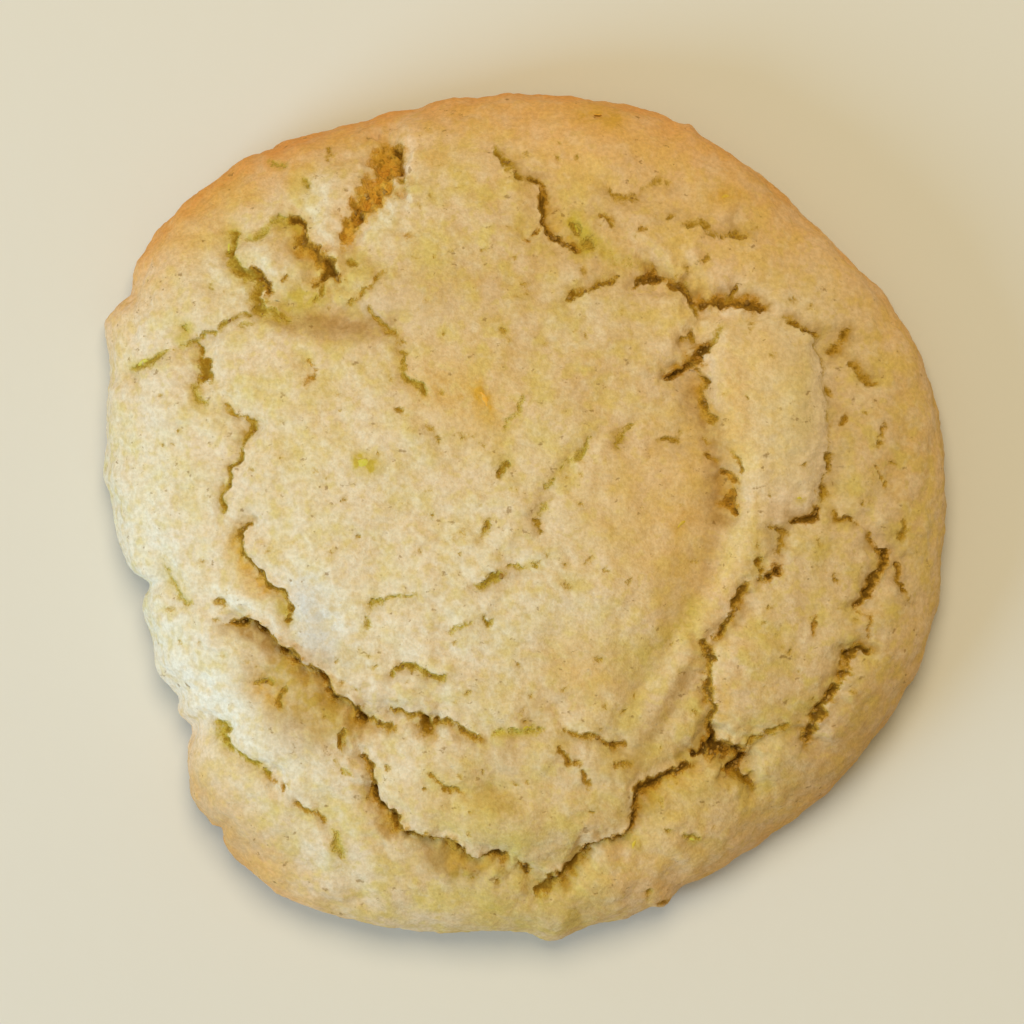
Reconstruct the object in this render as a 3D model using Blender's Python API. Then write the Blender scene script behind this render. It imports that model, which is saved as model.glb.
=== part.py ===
"""A lemon cookie: one soft round of dough, domed and crackled by baking, resting on a flat base.

It is worked out in millimetres, seen from above with X to the right and Y up the page, and turned to
metres when the mesh is made. Z rises from the base, and the origin is the middle of the base.
"""

from collections import namedtuple

import bmesh
import bpy
import numpy as np

MM = 0.001  # metres in a millimetre

# The whole cookie, in millimetres.
WIDTH = 84.4  # along X
LENGTH = 84.8  # along Y
HEIGHT = 18.6
EDGE_HEIGHT = 3.4  # where the outline is widest
EDGE_WOBBLE = 0.7  # how much that height varies round the rim
TUCK = 2.6  # how far the rim curls in under itself
FULLNESS = 2.3  # power of the crown's side view: 2 is an ellipse, more has a squarer shoulder

# Radius of the outline every 15 degrees, anticlockwise from +X.
OUTLINE = (
    42.2, 42.4, 42.1, 41.2, 41.5, 42.5, 42.4, 42.3, 43.7, 46.2, 46.3, 43.4,
    41.2, 39.9, 40.3, 44.6, 44.7, 42.8, 41.7, 41.4, 40.2, 40.7, 41.6, 42.2,
)

# Nicks and knobs of the rim: direction and half width in degrees, and how far it stands out.
Nick = namedtuple("Nick", "direction spread out")
NICKS = (
    Nick(67.0, 1.3, 0.5), Nick(150.5, 2.0, -0.8), Nick(155.5, 2.5, 0.6), Nick(174.5, 2.0, 0.5),
    Nick(190.2, 1.8, -1.6), Nick(202.5, 2.0, 0.6), Nick(207.5, 2.0, -0.7), Nick(212.5, 2.0, -1.2),
    Nick(219.5, 2.5, 0.7), Nick(225.8, 0.9, -0.7), Nick(273.8, 3.2, 0.9), Nick(289.5, 1.8, 0.6),
    Nick(293.0, 1.6, -0.3),
)
NICK_REACH = 10  # power by which a nick fades towards the middle

# Swellings of the crown: centre, half lengths, turn in degrees, height and power.
# Power 2 is a soft bell, and 4 a plate with a flat top and steep sides.
Swelling = namedtuple("Swelling", "x y along across turn height power")
SWELLINGS = {
    "dome": Swelling(-5.5, 1.0, 24.0, 22.5, 0, 2.2, 4),
    "dome_upper": Swelling(-8.0, 20.0, 12.0, 8.0, 0, 0.5, 2),
    "dome_lower_right": Swelling(9.5, -5.0, 7.5, 10.0, -20, 0.5, 2),
    "shoulder": Swelling(-26.0, 13.5, 6.0, 5.0, 0, 0.6, 2),
    "upper_fold": Swelling(-17.5, 19.0, 6.5, 2.0, -12, -1.2, 2),
    "ridge": Swelling(23.8, 11.0, 5.4, 10.5, 0, 1.7, 4),
    "ridge_foot": Swelling(22.8, -0.5, 2.6, 5.5, 0, 0.6, 2),
    "right_plate": Swelling(26.5, -11.3, 7.5, 10.5, -8, 0.9, 4),
    "far_right_plate": Swelling(35.0, -15.0, 3.0, 8.0, -18, 0.4, 2),
    "bottom_plate": Swelling(-2.5, -28.0, 13.0, 7.0, 0, 1.6, 4),
    "bottom_bulge": Swelling(-1.5, -31.0, 5.5, 3.6, 0, 0.9, 2),
    "bottom_dimple": Swelling(-2.6, -27.0, 2.6, 1.7, 0, -0.8, 2),
    "lower_right_plate": Swelling(17.0, -29.0, 6.5, 4.5, 20, 0.9, 4),
    "lower_left_lobe": Swelling(-29.0, -16.5, 10.5, 5.5, -38, 0.9, 2),
    "bottom_left_lobe": Swelling(-24.0, -29.0, 11.0, 6.0, -38, 0.5, 2),
    "rift_side": Swelling(-19.0, 31.0, 4.0, 5.5, 15, 0.8, 2),
    "fork_block": Swelling(-25.2, 25.2, 3.6, 3.0, 0, 0.7, 4),
    "left_block": Swelling(-32.5, 25.5, 4.5, 6.5, -20, 0.5, 2),
    "left_rim": Swelling(-35.5, 8.0, 4.0, 12.0, 0, 0.4, 2),
    "top_plate": Swelling(-7.0, 32.5, 8.5, 7.0, 0, 0.9, 4),
}

# Soft folds: half width, height at each end, and the route that they follow.
Fold = namedtuple("Fold", "spread first last route")
FOLDS = {
    "valley": Fold(2.4, -1.4, -0.3, (
        (17.5, 13), (19, 8), (20.3, 2), (18.7, -4), (16.5, -9), (12.5, -16), (8.5, -22.5))),
    "narrow_ridge": Fold(1.5, 0.9, 0.5, ((22, -1.5), (21.2, -5), (17.5, -12), (14.5, -17), (11.5, -22))),
    "second_groove": Fold(1.1, -0.5, -0.3, ((18, -12.5), (15.5, -17.5), (12.5, -23.0))),
    "ridge_step": Fold(1.3, -0.6, -0.5, ((29.8, 16), (30.3, 8), (30.2, 2.5))),
    "left_groove": Fold(1.5, -0.5, -0.5, ((-37, -4), (-34.5, -8), (-33, -9))),
    "left_slope_groove": Fold(1.3, -0.5, -0.6, ((-31, -20), (-28, -24), (-24.5, -27))),
    "plate_hollow": Fold(1.6, -1.0, -0.7, ((5, -35), (1.4, -38.0))),
    "bottom_left_groove": Fold(1.2, -0.3, -0.5, ((-21, -26), (-18.5, -31), (-16.5, -38))),
}

# Cracks: width at each end, depth, how far the crust stands up to the left of the route and to its
# right, and the route.
Crack = namedtuple("Crack", "start end depth left right route")
CRACKS = {
    "rift": Crack(4.6, 1.3, 2.0, 0.5, 0.3, (
        (-14.0, 36.4), (-14.4, 33.5), (-15.8, 31), (-17, 29), (-18.3, 27.3))),
    "fork_a": Crack(1.2, 1.2, 1.6, 0.4, -0.3, (
        (-23.7, 29.5), (-22.1, 29), (-22.6, 27.5), (-21.3, 26.5), (-19, 25.2), (-18.6, 23.3))),
    "fork_b": Crack(1.0, 0.8, 1.3, 0.4, -0.2, (
        (-29.1, 28.5), (-29.2, 25.3), (-27.3, 23.7), (-26.3, 23), (-26, 20.6), (-23.7, 19.2))),
    "left_seam": Crack(0.8, 1.0, 1.0, 0.5, -0.3, (
        (-39.3, 14.9), (-36.5, 15.9), (-34, 17.2), (-32, 17.9), (-30, 19.2), (-26.3, 20.5))),
    "left_spur": Crack(0.9, 0.7, 1.0, 0.2, 0.0, ((-32.2, 17.2), (-31.8, 14.7), (-32.7, 11.5))),
    "dome_left": Crack(0.8, 0.8, 0.9, 0.4, -0.1, ((-28, 8.2), (-28.5, 6.2), (-29.3, 4.2), (-30.1, 0.2))),
    "dome_lower_left": Crack(0.8, 0.9, 1.1, 0.7, -0.3, (
        (-27.5, 0.2), (-28.5, -2.3), (-27.7, -4.5), (-26, -6.3), (-23.3, -8.3))),
    "main_seam": Crack(1.1, 1.4, 1.7, 1.5, -0.9, (
        (-31, -8.3), (-29, -10.5), (-26.3, -11.1), (-24.5, -13), (-22.2, -14.6), (-20.4, -15.5),
        (-19.1, -17.9), (-17, -19.3), (-16.3, -20.4))),
    "main_seam_end": Crack(1.0, 0.8, 1.1, 0.6, -0.3, ((-16.3, -20.4), (-14.7, -20.7), (-12.8, -21.1))),
    "lower_seam": Crack(0.8, 0.9, 1.0, 0.6, -0.2, (
        (-12.5, -19.3), (-10, -20.7), (-6.7, -20.7), (-5.7, -21.8), (-4, -22.1), (-1.5, -21.5),
        (1.5, -21.3), (3.5, -21.8), (6, -21.8), (9, -22.5))),
    "dome_top": Crack(0.7, 0.6, 0.7, 0.3, 0.0, ((-15, 20.7), (-13.5, 18.7), (-12.3, 17.2))),
    "dome_top_hook": Crack(0.7, 0.7, 0.8, 0.2, 0.0, ((-12.2, 15.7), (-12, 14.4), (-11, 13.4), (-9.8, 12.7))),
    "top_crack_upper": Crack(0.7, 0.7, 0.9, 0.0, 0.3, ((-3.2, 36.7), (-2.2, 35.2), (-1.2, 33.7))),
    "top_crack": Crack(0.8, 0.8, 1.1, -0.3, 0.4, (
        (0, 33.5), (1, 32.2), (1.5, 30.5), (1.5, 28.7), (2.3, 27.9), (4.7, 26.4))),
    "chain_left": Crack(0.6, 0.9, 0.9, 0.0, 0.3, ((4.5, 21.4), (6.5, 22.5), (8.7, 23.7))),
    "chain_pit": Crack(1.5, 1.5, 1.3, 0.0, 0.2, ((11.5, 23.6), (13.3, 24))),
    "chain": Crack(1.2, 0.9, 1.3, -0.4, 0.9, (
        (14.9, 22.9), (16.6, 21.8), (17.6, 21.3), (21.2, 21.2), (23.6, 20.7))),
    "right_upper": Crack(1.1, 0.6, 0.9, 0.0, 0.3, ((26.3, 19.3), (27.4, 18.7), (29, 18.4))),
    "far_right_upper": Crack(0.8, 0.6, 0.7, 0.0, 0.2, ((31.5, 18.2), (30.8, 16.8), (33.3, 14.2), (37, 12.9))),
    "ridge_pit": Crack(1.1, 1.1, 1.2, 0.2, 0.0, ((15.9, 18.2), (16.8, 17.4))),
    "ridge_top": Crack(0.7, 1.3, 1.3, 0.5, -0.3, (
        (19.3, 19.2), (19, 17.2), (18.2, 16.1), (17.2, 15.9), (16.2, 14.9), (14.6, 13.9))),
    "ridge_side": Crack(0.8, 0.7, 0.9, 0.3, 0.0, (
        (17.4, 13.7), (17.2, 12.3), (18, 10.6), (18.9, 9.8), (19.5, 7.7), (20.7, 5.7))),
    "ridge_hole": Crack(1.0, 1.0, 1.2, 0.0, 0.0, ((20.0, 1.6), (20.6, 0.9))),
    "dome_right": Crack(0.7, 0.8, 0.9, 0.3, 0.0, (
        (10.7, 9.2), (10, 7.7), (9, 7.2), (6.5, 7.7), (6, 6.4), (3, 4.5), (2, 2.5))),
    "dome_low": Crack(0.7, 0.7, 0.8, 0.1, 0.0, ((-5.2, -7), (-3.7, -7), (-1.5, -5.3), (1.3, -5.3))),
    "dome_lowest": Crack(0.9, 0.9, 0.9, 0.2, 0.0, ((-13, -15.1), (-11.5, -14.8), (-9, -16.1), (-8, -15.5))),
    "plate_rim_left": Crack(0.9, 1.1, 1.4, 0.7, -0.5, (
        (-16, -24.3), (-15, -27.8), (-14, -29.1), (-13, -30.8), (-11, -31.6), (-8.5, -32.1),
        (-6.3, -33.7), (-5.1, -34.2), (-2.3, -34.6), (0.3, -35.8))),
    "plate_rim_right": Crack(1.2, 1.0, 1.4, 0.8, -0.5, (
        (1.5, -36.8), (2.7, -36.1), (4.5, -34.7), (6.1, -32.9), (9, -31.8), (10.2, -31.1),
        (11.1, -28.8), (12.3, -27.1), (14, -25.5), (16, -25.1))),
    "right_plate_pit": Crack(1.6, 1.6, 1.6, 0.0, 0.0, ((24.2, -5.5), (24.9, -6))),
    "right_plate_left": Crack(1.0, 1.0, 1.3, 0.0, 0.3, (
        (23.5, -5.2), (21.9, -6.9), (20.3, -9.5), (20.1, -10.5), (19.2, -11.6))),
    "right_plate_lower_left": Crack(0.9, 0.8, 1.1, 0.6, -0.3, (
        (17.7, -12.3), (18.5, -13.2), (18.3, -15.5), (18.5, -19.3), (18.3, -21.8))),
    "right_plate_top": Crack(0.9, 0.8, 1.1, -0.2, 0.3, (
        (25.3, -3.2), (25.4, -1.1), (26.5, -0.7), (28.6, -0.5), (29, 0.7), (29.9, 2.7), (29.8, 4.7))),
    "right_plate_right": Crack(0.8, 1.1, 1.1, 0.4, -0.2, (
        (30.9, 0.7), (31.6, -0.3), (33.2, -0.6), (36.5, -3.8), (36, -5.3), (33.7, -8.5), (33, -9.3))),
    "right_plate_lower_right": Crack(0.9, 1.2, 1.3, 0.5, -0.2, (
        (34, -13.3), (32.5, -14.3), (31, -17.8), (30.3, -19.1), (29, -21.3), (28.5, -22.8))),
    "far_right": Crack(0.8, 0.7, 0.7, 0.2, 0.0, ((37.7, -7.3), (38.7, -8.5), (38, -11.8))),
    "holes": Crack(1.4, 1.6, 1.8, 0.3, -0.2, ((16.8, -23.8), (18.5, -23.1), (21, -24.5), (22, -24.3))),
    "deep_hole": Crack(1.8, 1.5, 2.2, 0.2, 0.0, ((21, -24.3), (21.3, -25.6), (22.5, -27.3))),
    "lower_right_line": Crack(0.7, 0.7, 0.7, 0.2, 0.0, ((12.5, -31.8), (15.5, -32.3), (20, -33.3))),
    "left_slope_line": Crack(0.8, 0.7, 0.8, 0.2, 0.0, (
        (-31, -20.3), (-30, -22.3), (-28, -23.8), (-26, -26.3), (-24.5, -27))),
}
RAGGED = ((2.6, 0.34), (1.2, 0.16))  # size and reach of the wander that frays a crack's edges
WIDTH_CHANGES = (1.9, 0.9)  # size and share by which a crack opens and shuts along its route
END_TAPER = 1.2  # widths over which a crack comes to its end
CRACK_POWER = 0.55  # under 1 gives a crack steep walls and a flat floor
CRUST_FADE = 3.2  # how far from a crack the lifted crust settles
ROUNDED = (0.35, 1.1)  # share of a crack's depth by which the crust beside it dips, and over how far

LUMPS = ((9.0, 0.45), (3.6, 0.20), (1.8, 0.09))  # size and height of the crust's unevenness

GRID = 250  # squares across the grid that is bent over the cookie
TRIANGLES = 11400  # left after thinning
FLAT_BELOW = 0.05  # a vertex lower than this belongs to the base
SEED = 11

DOUGH = {"name": "baked_dough", "colour": (202, 172, 113), "roughness": 0.85}


def clear_scene():
    for thing in list(bpy.data.objects):
        bpy.data.objects.remove(thing, do_unlink=True)


def make_lattice(seed):
    """The random order and the 256 directions that the noise reads."""
    draw = np.random.default_rng(seed)
    order = draw.permutation(256)
    directions = draw.normal(size=(256, 3))
    return np.concatenate([order, order]), directions / np.linalg.norm(directions, axis=1)[:, None]


ORDER, DIRECTIONS = make_lattice(SEED)


def noise(x, y, z):
    """Gradient noise, about -1 to 1: at each corner of a unit cube a fixed direction gives a slope, and
    the eight slopes are blended smoothly."""
    cell = [np.floor(a).astype(int) for a in (x, y, z)]
    inside = [a - c for a, c in zip((x, y, z), cell)]
    blend = [t * t * t * (t * (t * 6 - 15) + 10) for t in inside]
    total = np.zeros(x.shape)
    for corner in np.ndindex(2, 2, 2):
        i, j, k = ((c + d) & 255 for c, d in zip(cell, corner))
        slope = DIRECTIONS[ORDER[ORDER[ORDER[i] + j] + k]]
        value = sum(slope[:, a] * (inside[a] - corner[a]) for a in range(3))
        for t, d in zip(blend, corner):
            value = value * (t if d else 1 - t)
        total += value
    return 1.6 * total


def flat_noise(x, y, size, layer):
    """Noise over the plan: patches about `size` millimetres across. Each layer is a field of its own."""
    return noise(x / size, y / size, np.full(x.shape, 1.37 * layer))


def plain_radius(angle):
    """The outline without its nicks: a smooth closed curve through the radii in OUTLINE."""
    count = len(OUTLINE)
    place = angle / (2 * np.pi) * count
    first = np.floor(place).astype(int)
    f = place - first
    before, here, after, beyond = (np.array(OUTLINE)[(first + k) % count] for k in (-1, 0, 1, 2))
    return 0.5 * (
        2 * here
        + (after - before) * f
        + (2 * before - 5 * here + 4 * after - beyond) * f**2
        + (3 * here - before - 3 * after + beyond) * f**3
    )


def nick_depth(angle):
    """How far the nicks and knobs stand out at each angle."""
    out = np.zeros(angle.shape)
    for nick in NICKS:
        away = (np.degrees(angle) - nick.direction + 180) % 360 - 180
        out += nick.out * np.exp(-((away / nick.spread) ** 2))
    return out


def side_view(t):
    """The section of the cookie, from the middle of the crown (t = 0) to the edge of the base (t = 1), at
    even steps of length: reach is the share of the radius, rise the share of the crown's height, tuck
    the share of the curl inwards and drop the share of the way down from the widest point."""
    turn = np.linspace(0, np.pi, 1200)
    crown = turn <= np.pi / 2
    under = np.where(crown, 0, turn - np.pi / 2)
    reach = np.where(crown, np.sin(turn) ** (2 / FULLNESS), 1.0)
    rise = np.where(crown, np.maximum(np.cos(turn), 0) ** (2 / FULLNESS), 0.0)
    tuck, drop = 1 - np.cos(under), np.sin(under)
    r = WIDTH / 2 * reach - TUCK * tuck
    z = (HEIGHT - EDGE_HEIGHT) * rise - EDGE_HEIGHT * drop
    length = np.concatenate([[0], np.cumsum(np.hypot(np.diff(r), np.diff(z)))])
    return [np.interp(t * length[-1], length, a) for a in (reach, rise, tuck, drop)]


def disc_from_square(u, v):
    """A square grid as rings and angles: squares round the middle become rings."""
    ring = np.maximum(np.abs(u), np.abs(v))
    safe = np.where(ring > 0, ring, 1)
    wide = np.abs(u) >= np.abs(v)
    share = np.where(wide, v * np.sign(u), -u * np.sign(v)) / safe
    start = np.where(wide, np.where(u < 0, np.pi, 0), np.where(v < 0, 1.5 * np.pi, 0.5 * np.pi))
    return ring, (start + share * np.pi / 4) % (2 * np.pi)


def follow(route, x, y):
    """Distance from each point to a route, which side of it the point is on (+1 left) and how far along."""
    nearest, side, along = np.full(x.shape, np.inf), np.zeros(x.shape), np.zeros(x.shape)
    corners = np.array(route, dtype=float)
    steps = np.diff(corners, axis=0)
    lengths = np.hypot(steps[:, 0], steps[:, 1])
    passed = 0.0
    for (ax, ay), (sx, sy), length in zip(corners, steps, lengths):
        t = np.clip(((x - ax) * sx + (y - ay) * sy) / length**2, 0, 1)
        across = (sx * (y - ay) - sy * (x - ax)) / length
        distance = np.hypot(x - ax - t * sx, y - ay - t * sy) - 1e-3 * np.abs(across)  # settles ties
        closer = distance < nearest
        nearest = np.where(closer, distance, nearest)
        side = np.where(closer, np.sign(across), side)
        along = np.where(closer, passed + t * length, along)
        passed += length
    return np.maximum(nearest, 0), side, along, passed


def swelling_height(x, y):
    height = np.zeros(x.shape)
    for s in SWELLINGS.values():
        c, n = np.cos(np.radians(s.turn)), np.sin(np.radians(s.turn))
        along = ((x - s.x) * c + (y - s.y) * n) / s.along
        across = (-(x - s.x) * n + (y - s.y) * c) / s.across
        height += s.height * np.exp(-np.hypot(along, across) ** s.power)
    return height


def fold_height(x, y):
    height = np.zeros(x.shape)
    for f in FOLDS.values():
        distance, _, along, length = follow(f.route, x, y)
        height += (f.first + (f.last - f.first) * along / length) * np.exp(-((distance / f.spread) ** 2))
    return height


def crack_height(x, y):
    """Each crack is a steep-walled cut along a frayed route, with the crust lifted or dropped beside it."""
    height = np.zeros(x.shape)
    frayed_x = x + sum(reach * flat_noise(x, y, size, 2) for size, reach in RAGGED)
    frayed_y = y + sum(reach * flat_noise(x, y, size, 3) for size, reach in RAGGED)
    opening = np.clip(0.8 + WIDTH_CHANGES[1] * flat_noise(x, y, WIDTH_CHANGES[0], 4), 0.2, 1.6)
    for crack in CRACKS.values():
        distance, side, along, length = follow(crack.route, frayed_x, frayed_y)
        width = crack.start + (crack.end - crack.start) * along / length
        to_end = np.minimum(along, length - along)
        half = 0.5 * width * opening * np.clip(to_end / (END_TAPER * width) + 0.4, 0, 1)
        cut = np.clip(1 - (distance / half) ** 2, 0, 1) ** CRACK_POWER
        beside = np.maximum(distance - half, 0)
        settle = np.clip(to_end / (2 * END_TAPER), 0, 1) ** 2
        height += np.where(side > 0, crack.left, crack.right) * np.exp(-beside / CRUST_FADE) * settle
        height -= crack.depth * cut
        height -= ROUNDED[0] * crack.depth * np.exp(-((beside / ROUNDED[1]) ** 2)) * (distance > half)
    return height


def smooth_shape(u, v):
    """The cookie before its crust cracks: the side view carried round the outline, with the swellings."""
    ring, angle = disc_from_square(u, v)
    reach, rise, tuck, drop = side_view(ring)
    r = plain_radius(angle) * reach + nick_depth(angle) * reach**NICK_REACH - TUCK * tuck
    x, y = r * np.cos(angle), r * np.sin(angle)
    edge = EDGE_HEIGHT + EDGE_WOBBLE * noise(2 * np.cos(angle), 2 * np.sin(angle), 0 * angle)
    z = edge * (1 - drop) * (1 - rise) + HEIGHT * rise
    z += (swelling_height(x, y) + fold_height(x, y)) * np.clip(2.5 * rise, 0, 1)
    return np.stack([x, y, z], axis=1), 1 - drop


def crust_height(x, y):
    """The crust's unevenness and its cracks."""
    lumps = sum(high * flat_noise(x, y, size, 5 + i) for i, (size, high) in enumerate(LUMPS))
    return lumps + crack_height(x, y)


def grid_mesh():
    """A flat square grid, two units wide, with its vertices' places as an array."""
    grid = bmesh.new()
    bmesh.ops.create_grid(grid, x_segments=GRID, y_segments=GRID, size=1.0)
    mesh = bpy.data.meshes.new("cookie")
    grid.to_mesh(mesh)
    grid.free()
    return mesh, vertex_places(mesh)


def vertex_places(mesh):
    flat = np.empty(3 * len(mesh.vertices), dtype=np.float32)
    mesh.vertices.foreach_get("co", flat)
    return flat.reshape(-1, 3).astype(float)


def vertex_normals(mesh):
    flat = np.empty(3 * len(mesh.vertices), dtype=np.float32)
    mesh.vertex_normals.foreach_get("vector", flat)
    return flat.reshape(-1, 3).astype(float)


def place_vertices(mesh, places):
    """Places in millimetres go into the mesh in metres, rounded to a micrometre so that the thinning
    after it comes out the same on any machine."""
    mesh.vertices.foreach_set("co", (np.round(places, 3) * MM).astype(np.float32).ravel())
    mesh.update()


def close_base(mesh):
    """One flat face across the rim's lower edge."""
    shell = bmesh.new()
    shell.from_mesh(mesh)
    rim = [edge for edge in shell.edges if edge.is_boundary]
    bmesh.ops.contextual_create(shell, geom=rim)
    bmesh.ops.recalc_face_normals(shell, faces=shell.faces)
    shell.to_mesh(mesh)
    shell.free()


def thin_mesh(thing):
    """Collapses the fine mesh where the crust is smooth, and keeps its triangles for the cracks."""
    count = 2 * GRID * GRID + 4 * GRID - 2
    modifier = thing.modifiers.new("thin", "DECIMATE")
    modifier.ratio = TRIANGLES / count
    modifier.use_collapse_triangulate = True
    evaluated = thing.evaluated_get(bpy.context.evaluated_depsgraph_get())
    thinned = bpy.data.meshes.new_from_object(evaluated)
    thing.modifiers.clear()
    thing.data = thinned


def fit_to_size(mesh):
    """The base laid flat, and the whole stretched a hair to its driving sizes, centred on the origin."""
    places = vertex_places(mesh) / MM
    places[places[:, 2] < FLAT_BELOW, 2] = 0
    low, high = places.min(axis=0), places.max(axis=0)
    places[:, :2] -= (low + high)[:2] / 2
    place_vertices(mesh, places * np.array([WIDTH, LENGTH, HEIGHT]) / (high - low))


def srgb_to_linear(value):
    value /= 255
    return value / 12.92 if value <= 0.04045 else ((value + 0.055) / 1.055) ** 2.4


def make_material(look):
    material = bpy.data.materials.new(look["name"])
    material.use_nodes = True
    shader = material.node_tree.nodes["Principled BSDF"]
    shader.inputs["Base Color"].default_value = (*map(srgb_to_linear, look["colour"]), 1)
    shader.inputs["Roughness"].default_value = look["roughness"]
    shader.inputs["Metallic"].default_value = 0
    return material


def make_cookie():
    mesh, flat = grid_mesh()
    smooth, crust_share = smooth_shape(flat[:, 0], flat[:, 1])
    place_vertices(mesh, smooth)
    crust = crust_height(smooth[:, 0], smooth[:, 1]) * crust_share
    place_vertices(mesh, smooth + vertex_normals(mesh) * crust[:, None])
    close_base(mesh)
    cookie = bpy.data.objects.new("cookie", mesh)
    bpy.context.scene.collection.objects.link(cookie)
    bpy.context.view_layer.update()
    thin_mesh(cookie)
    fit_to_size(cookie.data)
    cookie.data.materials.append(make_material(DOUGH))
    cookie.data.shade_smooth()
    return cookie


clear_scene()
make_cookie()
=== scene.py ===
import bpy
import numpy as np
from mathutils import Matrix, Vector


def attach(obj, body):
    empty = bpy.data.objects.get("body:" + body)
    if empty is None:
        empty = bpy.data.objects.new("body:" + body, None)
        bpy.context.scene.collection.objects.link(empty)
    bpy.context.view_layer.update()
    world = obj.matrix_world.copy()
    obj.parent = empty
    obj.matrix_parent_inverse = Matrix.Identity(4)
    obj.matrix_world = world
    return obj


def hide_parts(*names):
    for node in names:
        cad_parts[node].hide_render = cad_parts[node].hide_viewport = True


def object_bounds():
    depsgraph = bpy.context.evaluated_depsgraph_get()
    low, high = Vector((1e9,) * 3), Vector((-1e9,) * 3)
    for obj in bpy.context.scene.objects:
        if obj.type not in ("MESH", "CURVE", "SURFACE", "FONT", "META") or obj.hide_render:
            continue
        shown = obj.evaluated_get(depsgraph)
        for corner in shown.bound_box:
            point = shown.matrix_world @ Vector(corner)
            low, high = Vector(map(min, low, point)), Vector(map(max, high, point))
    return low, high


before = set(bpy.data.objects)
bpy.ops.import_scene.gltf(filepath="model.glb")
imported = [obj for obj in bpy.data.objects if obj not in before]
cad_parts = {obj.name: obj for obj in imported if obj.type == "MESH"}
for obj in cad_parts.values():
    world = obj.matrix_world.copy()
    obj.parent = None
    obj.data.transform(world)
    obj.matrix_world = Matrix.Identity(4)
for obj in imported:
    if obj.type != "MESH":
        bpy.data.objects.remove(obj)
solidLow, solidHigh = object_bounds()

# A soft lemon cookie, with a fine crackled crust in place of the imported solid, the crumbs and zest in it, and the
# light and camera. Lengths are in millimetres, x to the right and y up the page, as seen from above.
mm = 0.001

# The section and outline. The radii stand every 15 degrees, anticlockwise from +x. A nick has its direction and half
# width in degrees, and how far it stands out.
cookieForm = {
    "size": [(high - low) / mm for low, high in zip(solidLow, solidHigh)],
    "edgeHeight": 3.4,  # where the outline is widest
    "edgeWobble": 0.7,  # how much that height varies round the rim
    "tuck": 2.6,  # how far the rim curls in under itself
    "fullness": 2.3,  # power of the crown's side view: 2 is an ellipse, more has a squarer shoulder
    "outline": (
        42.2, 42.4, 42.1, 41.2, 41.5, 42.5, 42.4, 42.3, 43.7, 46.2, 46.3, 43.4,
        41.2, 39.9, 40.3, 44.6, 44.7, 42.8, 41.7, 41.4, 40.2, 40.7, 41.6, 42.2,
    ),
    "nicks": (
        (67.0, 1.3, 0.5), (150.5, 2.0, -0.8), (155.5, 2.5, 0.6), (174.5, 2.0, 0.5), (190.2, 1.8, -1.6),
        (202.5, 2.0, 0.6), (207.5, 2.0, -0.7), (212.5, 2.0, -1.2), (219.5, 2.5, 0.7), (225.8, 0.9, -0.7),
        (273.8, 3.2, 0.9), (289.5, 1.8, 0.6), (293.0, 1.6, -0.3),
    ),
    "nickReach": 10,  # power by which a nick fades towards the middle
    "foldSoftness": 0.7,  # how far the folds are rounded
    "reliefFade": 2.5,  # the crown's relief fades out below the height's share of one in this many
    "bakedSide": 0.8,  # how brown the side is where it curls in
    "sectionSteps": 1200,  # along half of the section
    "squares": 560,  # across each of the two sheets, crown and underside
    "triangles": 188000,  # left after thinning
    "seed": 11,
}

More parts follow.
